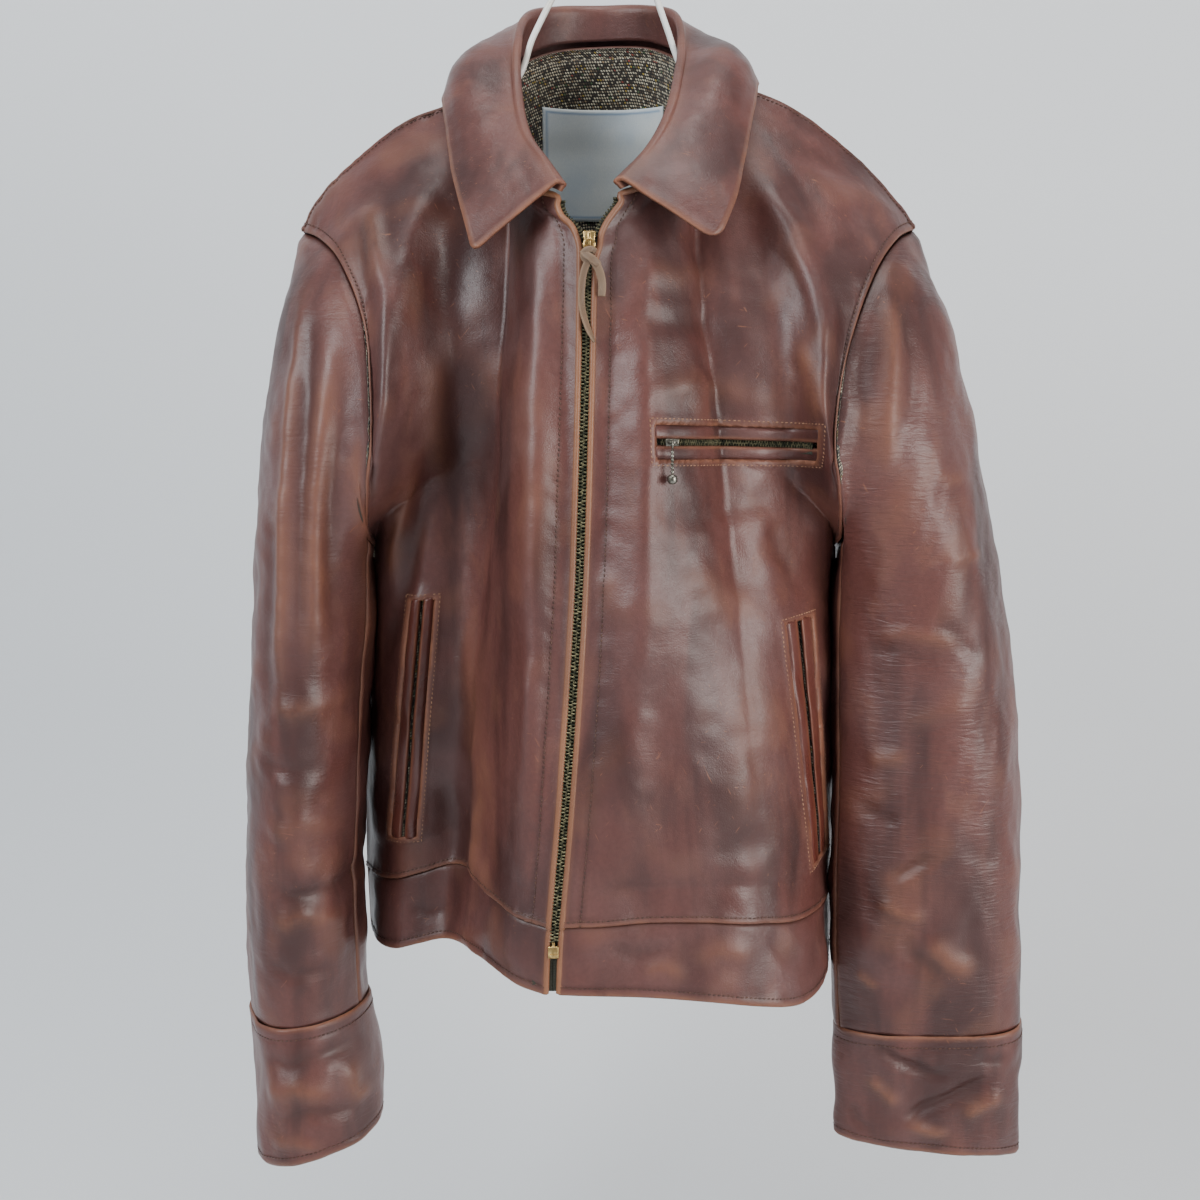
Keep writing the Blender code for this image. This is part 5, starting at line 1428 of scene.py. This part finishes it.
def cut_window(obj, corners):
    """Cuts the slot out of a panel, and raises and wears its edge."""
    form = bmesh.new()
    form.from_mesh(obj.data)
    for (ax, az), (bx, bz) in zip(corners, corners[1:] + corners[:1]):
        near = [face for face in form.faces if from_window(face, corners) < 7]
        parts = {item for face in near for item in (face, *face.edges, *face.verts)}
        bmesh.ops.bisect_plane(
            form, geom=list(parts), dist=1e-7, plane_co=Vector((ax, 0, az)) * MM,
            plane_no=Vector((az - bz, 0, bx - ax)),
        )
    inside = [face for face in form.faces if from_window(face, corners) < -0.02]
    bmesh.ops.delete(form, geom=inside, context="FACES")
    wear = form.verts.layers.float["wear"]
    for vert in form.verts:
        gap = outside_quad(vert.co.x / MM, vert.co.z / MM, corners)
        if gap < 8:
            vert[wear] = max(vert[wear], 0.85 * math.exp(-((gap / 2.4) ** 2)))
            raised = 1.3 * math.exp(-(((gap - 1.8) / 1.8) ** 2)) - 0.9 * math.exp(-((gap / 0.8) ** 2))
            vert.co += vert.normal * MM * raised
    form.to_mesh(obj.data)
    form.free()


def frame_line(skin, corners, outside):
    """The stitch line round a window, on the front's surface."""
    a, b, c, d = (np.array(corner, float) for corner in corners)
    across, down = (b - a) / np.linalg.norm(b - a), (d - a) / np.linalg.norm(d - a)
    ring = [
        a - outside * (across + down), b + outside * (across - down),
        c + outside * (across + down), d + outside * (down - across),
    ]
    line = []
    for start, end in zip(ring, ring[1:] + ring[:1]):
        for share in np.linspace(0, 1, 60, endpoint=False):
            x, z = start + share * (end - start)
            line.append((x, depth_at(skin, x, z), z))
    return np.array(line + line[:1]), np.tile([0.0, -1.0, 0.0], (len(line) + 1, 1))


FRAME_STITCHES_OUT = 4.0
WINDOWS = [
    ("left_front", BREAST_WINDOW), ("right_front", RIGHT_HAND_WINDOW), ("left_front", LEFT_HAND_WINDOW),
]
for front, window in WINDOWS:
    cut_window(pieces[front], window)
    stitch(*frame_line(front_skin, window, FRAME_STITCHES_OUT), "tan")

# %% Lips
BREAST_SLIT_HALF, HAND_SLIT_HALF = 1.6, 0.7
LIP_BOW = 1.3
LIPS = [
    ("breast_lip_upper", "breast_welt_upper", BREAST_WINDOW, False, 0),
    ("breast_lip_lower", "breast_welt_lower", BREAST_WINDOW, False, 1),
    ("right_pocket_outer_lip", "hand_welt_right_outer", RIGHT_HAND_WINDOW, True, 0),
    ("right_pocket_inner_lip", "hand_welt_right_inner", RIGHT_HAND_WINDOW, True, 1),
    ("left_pocket_inner_lip", "hand_welt_left_inner", LEFT_HAND_WINDOW, True, 0),
    ("left_pocket_outer_lip", "hand_welt_left_outer", LEFT_HAND_WINDOW, True, 1),
]
for name, node, window, upright, half in LIPS:
    a, b, c, d = (np.array(corner, float) for corner in window)
    wide = np.linalg.norm((a + d - b - c) / 2) if upright else np.linalg.norm((a + b - c - d) / 2)
    slit = (HAND_SLIT_HALF if upright else BREAST_SLIT_HALF) / wide
    low, high = (-0.06, 0.5 - slit) if half == 0 else (0.5 + slit, 1.06)
    rows = []
    for share in np.linspace(0, 1, 13):
        row = []
        slit_side = share if half == 0 else 1 - share
        sink = 1.6 * (1 - smooth_step(slit_side / 0.35)) + 2.6 * max(0.0, (slit_side - 0.82) / 0.18) ** 2
        bow = LIP_BOW * math.sin(math.pi * slit_side)
        over = low + (high - low) * share
        for step in np.linspace(-0.01, 1.01, 80):
            x, z = quad_point(window, over, step) if upright else quad_point(window, step, over)
            row.append((x, depth_at(front_skin, x, z) + 0.5 + sink - bow, z))
        rows.append(row)
    grid = np.array(rows)
    grid = np.swapaxes(grid, 0, 1) if upright else grid
    grid[..., 1] -= 0.25 * lumps(grid, 9, 71 + half)
    slit_gap = np.linspace(0, 1, 13) if half == 0 else np.linspace(1, 0, 13)
    worn = 0.6 * np.exp(-(((slit_gap - 0.86) / 0.10) ** 2))
    worn = np.tile(worn[None, :], (80, 1)) if upright else np.tile(worn[:, None], (1, 80))
    marks = {"wear": worn, "painted_shade": 0 * worn}
    obj = lay(name, grid, marks, LIP_HIDE if upright else HIDE, wall=1.4, facing=1)
    trim(obj, "root", "hide", node)

# %% [markdown]
# ## The front zip
#
# Two woven tapes lie behind the fronts' edges. A tooth is a small bevelled block, copied along each
# tape: below the slider the two rows mesh, and above it they part with the fronts.

# %% Tapes and teeth
ZIP_TOP_SHARE, ZIP_END_SHARE, SLIDER_SHARE, BOX_SHARE = 0.085, 0.93, 0.052, 0.942
TAPE_IN, TAPE_UNDER = 4.3, 9.5
zip_line = spline(ZIP_LINE)
for side, towards in (("right", -1), ("left", 1)):
    edge = EDGES[f"zip_{side}"](np.linspace(0.004, 0.996, 240))
    rows = []
    for offset in np.linspace(-TAPE_IN, TAPE_UNDER, 9):
        row = []
        for x, y, z in edge:
            under = depth_at(front_skin, x + towards * max(offset, 1.5), z) if offset > 0 else y
            row.append((x + towards * offset, max(under + 3.0, y + 2.6), z))
        rows.append(row)
    grid = np.swapaxes(np.array(rows), 0, 1)
    obj = lay(f"{side}_tape", grid, {}, TAPE, wall=0.8, facing=1 if side == "left" else -1)
    trim(obj, "root", "zip_tape", f"zip_tape_{side}")


def tooth_shape(size, bevel):
    """A small bevelled block, as points and faces."""
    form = bmesh.new()
    bmesh.ops.create_cube(form, size=1.0)
    bmesh.ops.scale(form, vec=Vector(size), verts=form.verts[:])
    bmesh.ops.bevel(
        form, geom=form.edges[:], offset=bevel, segments=1, profile=0.5, affect="EDGES", material=-1,
    )
    points = np.array([vert.co[:] for vert in form.verts])
    faces = [[vert.index for vert in face.verts] for face in form.faces]
    form.free()
    return points, faces


TOOTH_PITCH = 2.3
TOOTH = tooth_shape((1.15, 3.6, 1.7), 0.25)
toward_viewer = np.array([0.0, -1.0, 0.0])
closed_line = zip_line(np.linspace(ZIP_TOP_SHARE - 0.004, ZIP_END_SHARE, 400))
meshed = frames_along(closed_line, np.tile(toward_viewer, (400, 1)), TOOTH_PITCH / 2, lift=-0.9)
teeth = [(place + (1.25 if i % 2 else -1.25) * axes[1], axes) for i, (place, axes) in enumerate(meshed)]
for side, towards in (("right", 1), ("left", -1)):
    edge = EDGES[f"zip_{side}"](np.linspace(0.004, 0.062, 60))
    edge = edge + np.array([towards * 2.9, 2.2, 0])
    teeth += frames_along(edge, np.tile(toward_viewer, (60, 1)), TOOTH_PITCH, lift=0.3)
trim(copies("front_zip_teeth", TOOTH, teeth, TEETH, smooth=False), "root", "zip_teeth", "zip_chain")
print("front teeth:", len(teeth))


# %% [markdown]
# ## Sliders, rings, lace and bead chain
#
# The brass slider carries a bail, a ring and a lace of thin leather, knotted to the ring. The breast
# pocket's smaller slider has a ring and a bead chain. The rings swing on their bails.

# %% Sliders
def turned_round(form, steps):
    """Turns the outline once round the upright axis."""
    bmesh.ops.spin(
        form, geom=form.verts[:] + form.edges[:], cent=(0, 0, 0), axis=(0, 0, 1), angle=2 * math.pi,
        steps=steps, use_merge=True, use_duplicate=False, dvec=(0, 0, 0), use_normal_flip=False,
    )


def ring(name, place, radius, wire, axis, finish):
    """A round ring about an axis."""
    form = bmesh.new()
    bmesh.ops.create_circle(form, segments=14, radius=wire)
    turn = Vector((0, 0, 1)).rotation_difference(Vector((0, 1, 0))).to_matrix()
    bmesh.ops.rotate(form, verts=form.verts[:], cent=(0, 0, 0), matrix=turn)
    bmesh.ops.translate(form, vec=(radius, 0, 0), verts=form.verts[:])
    turned_round(form, 40)
    bmesh.ops.remove_doubles(form, verts=form.verts[:], dist=1e-4)
    turn = Vector((0, 0, 1)).rotation_difference(Vector(axis)).to_matrix()
    bmesh.ops.rotate(form, verts=form.verts[:], cent=(0, 0, 0), matrix=turn)
    bmesh.ops.translate(form, vec=place, verts=form.verts[:])
    return ready(name, form, finish)


def ready(name, form, finish):
    """A small hard piece, modelled in millimetres: scaled, its normals outwards, smooth."""
    bmesh.ops.scale(form, vec=(MM, MM, MM), verts=form.verts[:])
    bmesh.ops.recalc_face_normals(form, faces=form.faces[:])
    for face in form.faces:
        face.smooth = True
    return made(name, form, finish)


def plate(form, size, taper, place, bevel=0.5):
    """A bevelled block, narrower at its lower end."""
    found = bmesh.ops.create_cube(form, size=1.0)["verts"]
    bmesh.ops.scale(form, vec=Vector(size), verts=found)
    for vert in found:
        if vert.co.z < 0:
            vert.co.x *= taper
    edges = list({edge for vert in found for edge in vert.link_edges})
    bevelled = bmesh.ops.bevel(
        form, geom=edges, offset=bevel, segments=2, profile=0.5, affect="EDGES", material=-1,
    )
    island = {vert for face in bevelled["faces"] for vert in face.verts}
    bmesh.ops.translate(form, vec=place, verts=list(island))


RING_WIRE, SMALL_RING_WIRE = 0.6, 0.55
x, y, z = zip_line(np.array([SLIDER_SHARE]))[0]
form = bmesh.new()
plate(form, (8.2, 1.3, 10.5), 0.72, (x, y - 4.6, z))
plate(form, (8.0, 1.3, 10.5), 0.72, (x, y - 1.0, z))
plate(form, (2.2, 3.6, 2.8), 1.0, (x, y - 2.8, z + 3.2))
plate(form, (2.4, 2.2, 8.6), 0.8, (x, y - 5.6, z + 0.2))
trim(ready("front_slider", form, BRASS), "root", "zip_brass", "zip_slider")
low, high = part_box("zip_pull_ring")
ring_middle = [(a + b) / 2 / MM for a, b in zip(low, high)]
ring_radius = (high.x - low.x) / 2 / MM - RING_WIRE
obj = ring("front_pull_ring", ring_middle, ring_radius, RING_WIRE, (0, 1, 0), BRASS)
trim(obj, "zip_pull", "zip_brass", "zip_pull_ring")
bx, by, bz = zip_line(np.array([BOX_SHARE]))[0]
form = bmesh.new()
plate(form, (7.2, 3.4, 8.2), 1.0, (bx, by + 0.4, bz), 0.7)
plate(form, (2.0, 2.4, 3.0), 1.0, (bx, by + 0.2, bz + 5.2), 0.4)
plate(form, (5.0, 1.0, 1.0), 1.0, (bx, by - 1.5, bz - 1.6), 0.3)
trim(ready("zip_box", form, BRASS), "root", "zip_brass", "zip_bottom_box")


# %% Lace
THONG_THICK = 1.3


def thong(name, path, width, turn, taper=0.35):
    """A flat strip of leather along a path, turning as it goes and narrowing at its end."""
    line = spline(path)(np.linspace(0, 1, 40))
    way = np.gradient(line, axis=0)
    way /= np.linalg.norm(way, axis=1, keepdims=True)
    side = np.cross(way, toward_viewer)
    side /= np.linalg.norm(side, axis=1, keepdims=True)
    face = np.cross(side, way)
    angle = np.linspace(0, turn, 40)[:, None]
    broad = side * np.cos(angle) + face * np.sin(angle)
    bowed = face * np.cos(angle) - side * np.sin(angle)
    narrowing = (1 - taper) * np.clip((np.linspace(0, 1, 40) - 0.8) / 0.2, 0, 1) ** 2
    half = width / 2 * (1 - narrowing)[:, None]
    shares = np.linspace(-1, 1, 7)
    rows = [line + share * half * broad + 0.35 * (1 - share * share) * bowed for share in shares]
    grid = np.swapaxes(np.array(rows), 0, 1)
    wear = np.tile(0.6 * np.abs(np.linspace(-1, 1, 7)) ** 3, (40, 1))
    obj = lay(name, grid, {"wear": wear, "painted_shade": 0 * wear}, WORN_HIDE, wall=THONG_THICK)
    obj.modifiers["wall"].offset = 0.0
    return obj, line


low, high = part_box("pull_knot")
knot = np.array([(a + b) / 2 / MM for a, b in zip(low, high)])
kx, ky, kz = knot
down_zip = zip_line(np.linspace(0, 1, 60))


def hanging(across, down, out=0.0):
    """A point of the lace below the knot, lying on the zip's chain."""
    surface = np.interp(down - kz, -down_zip[:, 2], down_zip[:, 1])
    return (kx + across, min(ky, surface - 2.3) - out, kz - down)


long_path = [(-0.5, 1.0, 0.6), (-3.6, 9), (-5.0, 20), (-4.6, 32), (-1.5, 43), (3.0, 53)]
short_path = [(1.5, 0.0, 1.2), (6.0, 7, 0.6), (8.2, 15), (8.0, 24)]
long_tail, long_line = thong("lace_long_tail", [hanging(*step) for step in long_path], 4.2, 0.9)
short_tail, _ = thong("lace_short_tail", [hanging(*step) for step in short_path], 5.0, -0.4, taper=0.9)
over, _ = thong("lace_over", [
    (kx - 3.6, ky + 0.6, kz + 4.6), (kx - 2.6, ky - 1.6, kz + 2.4), (kx + 1.4, ky - 2.9, kz - 0.4),
    (kx + 5.2, ky - 1.2, kz - 3.6), (kx + 5.6, ky + 0.8, kz - 5.0),
], 4.4, 0.3)
loop, _ = thong("lace_loop", [
    (kx + 3.8, ky + 0.2, kz + 4.2), (kx + 1.0, ky - 2.0, kz + 5.4), (kx - 2.6, ky - 1.2, kz + 4.4),
    (kx - 3.8, ky - 0.4, kz + 1.2), (kx - 2.0, ky - 0.6, kz - 2.6),
], 3.4, -0.3)
form = bmesh.new()
bmesh.ops.create_icosphere(form, subdivisions=3, radius=1.0)
bmesh.ops.scale(form, vec=Vector((3.6, 1.9, 3.6)), verts=form.verts[:])
bmesh.ops.translate(form, vec=knot, verts=form.verts[:])
core = ready("lace_knot", form, WORN_HIDE)
trim(long_tail, "zip_pull", "lace", "pull_lace_long")
trim(short_tail, "zip_pull", "lace", "pull_lace_short")
trim(core, "zip_pull", "lace", "pull_knot")
trim(over, "zip_pull", "lace")
trim(loop, "zip_pull", "lace")
tuple(long_line[0] * MM)
[tuple(point * MM) for point in long_line]

# %% Breast pocket's zip
BEADS, BEAD_PITCH, BALL_TOP = 6, 2.5, 15.3
BALL = [
    (0.5, 0), (1.6, 0.4), (2.7, 1.0), (3.1, 1.9), (3.25, 3.2),
    (3.2, 4.4), (2.7, 5.5), (1.5, 6.3), (0.0, 6.6),
]
breast_line = []
for step in np.linspace(0.02, 0.98, 60):
    x, z = quad_point(BREAST_WINDOW, step, 0.5)
    breast_line.append((x, depth_at(front_skin, x, z) + 1.6, z))
breast_line = np.array(breast_line)
small = frames_along(breast_line, np.tile(toward_viewer, (60, 1)), 0.95, lift=0.0)
teeth = [(place + (0.8 if i % 2 else -0.8) * axes[1], axes * 0.72) for i, (place, axes) in enumerate(small)]
trim(copies("breast_zip_teeth", TOOTH, teeth, TEETH, smooth=False), "root", "zip_teeth", "breast_zip_chain")
rows = [breast_line + np.array([0, 1.0, offset]) for offset in np.linspace(6.0, -6.0, 7)]
trim(lay("breast_tape", np.array(rows), {}, TAPE, wall=0.7), "root", "zip_tape")

low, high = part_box("breast_zip_slider")
sx, sz = (low.x + high.x) / 2 / MM, (low.z + high.z) / 2 / MM
sy = high.y / MM
form = bmesh.new()
plate(form, (8.4, 1.1, 4.6), 1.0, (sx, sy - 2.2, sz), 0.4)
plate(form, (8.0, 1.1, 4.2), 1.0, (sx, sy - 0.6, sz), 0.4)
plate(form, (5.6, 1.0, 1.6), 1.0, (sx, sy - 3.2, sz), 0.3)
trim(ready("breast_slider", form, OLD_NICKEL), "root", "old_metal", "breast_zip_slider")
obj = ring("breast_bail", (sx, sy - 3.5, sz), 2.6, SMALL_RING_WIRE, (0, 0, -1), OLD_NICKEL)
trim(obj, "root", "old_metal")
low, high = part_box("breast_pull_ring")
middle = [(a + b) / 2 / MM for a, b in zip(low, high)]
ring_radius = (high.z - low.z) / 2 / MM - SMALL_RING_WIRE
obj = ring("breast_ring", middle, ring_radius, SMALL_RING_WIRE, (1, 0, 0), OLD_NICKEL)
trim(obj, "breast_pull", "old_metal", "breast_pull_ring")
low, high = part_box("breast_pull_beads")
cx, cy, top = (low.x + high.x) / 2 / MM, (low.y + high.y) / 2 / MM, high.z / MM
form = bmesh.new()
profile = [(0.0, 0.0), (0.5, 0.1)]
for bead in range(BEADS):
    start = 0.3 + bead * BEAD_PITCH
    for turn in np.radians(range(0, 181, 20)):
        profile.append((0.4 + 0.75 * math.sin(turn), start + 1.1 - 1.1 * math.cos(turn)))
profile += [(radius, BALL_TOP + down) for radius, down in BALL]
verts = [form.verts.new((radius, 0, -down)) for radius, down in profile]
for pair in zip(verts[:-1], verts[1:]):
    form.edges.new(pair)
turned_round(form, 20)
bmesh.ops.remove_doubles(form, verts=form.verts[:], dist=1e-3)
bmesh.ops.translate(form, vec=(cx, cy, top), verts=form.verts[:])
trim(ready("bead_chain", form, OLD_NICKEL), "breast_pull", "old_metal", "breast_pull_beads")

# %% [markdown]
# ## The wire hanger
#
# One coated wire is bent to arms and a trouser bar, its ends twisted round the hook's stem.

# %% Hanger
WIRE, HOOK_RADIUS, ARM_DROP, BAR_Z = 4.4, 21.0, 11.5, -298
NECK_OFFSET = WIRE + 0.3
TWIST_OUT, TWIST_TOP = 6.2, -66
right = [(-NECK_OFFSET, -68), (-NECK_OFFSET, -80), (-20, -95), (-37, -110), (-56, -144), (-71, -177)]
right += [(x, z - ARM_DROP) for x, _, z in SHOULDER_RIGHT[1:4]]
right += [(-207, -274), (-206, -286), (-196, BAR_Z + 2), (-180, BAR_Z)]
left = [(NECK_OFFSET, -68), (NECK_OFFSET, -80), (13, -95), (25, -110), (36, -138), (44, -160), (55, -180)]
left += [(x, z - ARM_DROP) for x, _, z in SHOULDER_LEFT[1:4]]
left += [(199, -274), (198, -286), (188, BAR_Z + 2), (172, BAR_Z)]
loop_line = spline([(x, 0, z) for x, z in right + left[::-1]], 8)(np.linspace(0, 1, 300))
trim(tube("coated_arms", loop_line, WIRE, WIRE_COAT), "root", "hanger_wire", "hanger_arms")
turns = np.radians(np.linspace(-80, 200, 40))
bow_z = WIRE / 2 - HOOK_RADIUS
bow = [(HOOK_RADIUS * math.cos(turn), 0, bow_z + HOOK_RADIUS * math.sin(turn)) for turn in turns]
hook_line = spline([(0, 0, -84), (0, 0, -70), (0, 0, -56)] + bow[1:], 6)(np.linspace(0, 1, 160))
trim(tube("coated_hook", hook_line, WIRE, WIRE_COAT), "root", "hanger_wire", "hanger_hook")
turns = np.linspace(0, 6 * math.pi, 120)
twist = [(TWIST_OUT * math.cos(turn), TWIST_OUT * math.sin(turn), TWIST_TOP - turn) for turn in turns]
trim(tube("twisted_wire", twist, 3.4, WIRE_COAT), "root", "hanger_wire")

# %% [markdown]
# ## The room and its light
#
# The jacket hangs before a plain pale sweep, in soft light: a large panel from the upper left, a weaker
# one from the right, and one above, for the sheen on the shoulders.

# %% Sweep and lights
def sweep():
    """A floor that curves up into a backdrop, which is clear when it is seen from behind."""
    form = bmesh.new()
    turns = np.radians(np.linspace(0, 90, 13))
    path = [(-2.2, -1.25), (0.2, -1.25)]
    path += [(0.2 + 0.5 * math.sin(turn), -0.75 - 0.5 * math.cos(turn)) for turn in turns]
    path.append((0.70, 2.2))
    line = [form.verts.new((-3.0, y, z)) for y, z in path]
    edges = [form.edges.new(pair) for pair in zip(line[:-1], line[1:])]
    spread = bmesh.ops.extrude_edge_only(form, edges=edges)
    new = [item for item in spread["geom"] if isinstance(item, bmesh.types.BMVert)]
    bmesh.ops.translate(form, vec=(6.0, 0, 0), verts=new)
    form.normal_update()
    away = [face for face in form.faces if face.normal.dot(Vector((0, -1, 1))) < 0]
    bmesh.ops.reverse_faces(form, faces=away)
    for face in form.faces:
        face.smooth = True
    paper = Finish("pale paper", roughness=0.9)
    paper.colour(paper.mix(paper.noise(900, 3), (0.66, 0.68, 0.70), (0.72, 0.735, 0.75)))
    behind = paper.node("ShaderNodeNewGeometry", output="Backfacing")
    paper.put(paper.shader.inputs["Alpha"], 1 - behind)
    return made("sweep", form, paper.material)


sweep()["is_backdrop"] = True
world = bpy.data.worlds.new("studio")
world.use_nodes = True
world.node_tree.nodes["Background"].inputs["Color"].default_value = (0.86, 0.92, 1.0, 1.0)
world.node_tree.nodes["Background"].inputs["Strength"].default_value = 0.36
bpy.context.scene.world = world
LIGHTS = [
    ("window", (-1.5, -1.5, 0.55), (0.0, 0.0, -0.45), 1.2, 52, (0.93, 0.97, 1.0)),
    ("right panel", (1.6, -1.2, -0.35), (0.1, 0.0, -0.62), 0.9, 36, (1.0, 0.96, 0.92)),
    ("above", (0.1, -0.5, 1.1), (0.0, 0.0, -0.4), 1.0, 18, (1.0, 0.99, 0.97)),
]
for name, place, aim, size, power, tint in LIGHTS:
    lamp = bpy.data.lights.new(name, "AREA")
    lamp.size, lamp.energy, lamp.color = size, power, tint
    obj = bpy.data.objects.new(name, lamp)
    obj.location = place
    obj.rotation_euler = (Vector(aim) - Vector(place)).to_track_quat("-Z", "Y").to_euler()
    bpy.context.scene.collection.objects.link(obj)

# %% Thread on the leather
THREADS = {
    "dark": ((0.045, 0.018, 0.012), (0.085, 0.035, 0.020)),
    "tan": ((0.22, 0.105, 0.055), (0.34, 0.18, 0.10)),
}
for tone, rows in stitch_rows.items():
    thread = Finish(f"{tone} waxed thread", roughness=0.6)
    thread.colour(thread.mix(thread.noise(6, 2).between(0.35, 0.65), *THREADS[tone]))
    frames = [place for row in rows for place in row]
    trim(copies(f"{tone}_stitches", STITCH, frames, thread.material), "root", "hide")
    print(f"{tone} stitches:", len(frames))

# %% Measure and finish
low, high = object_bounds()
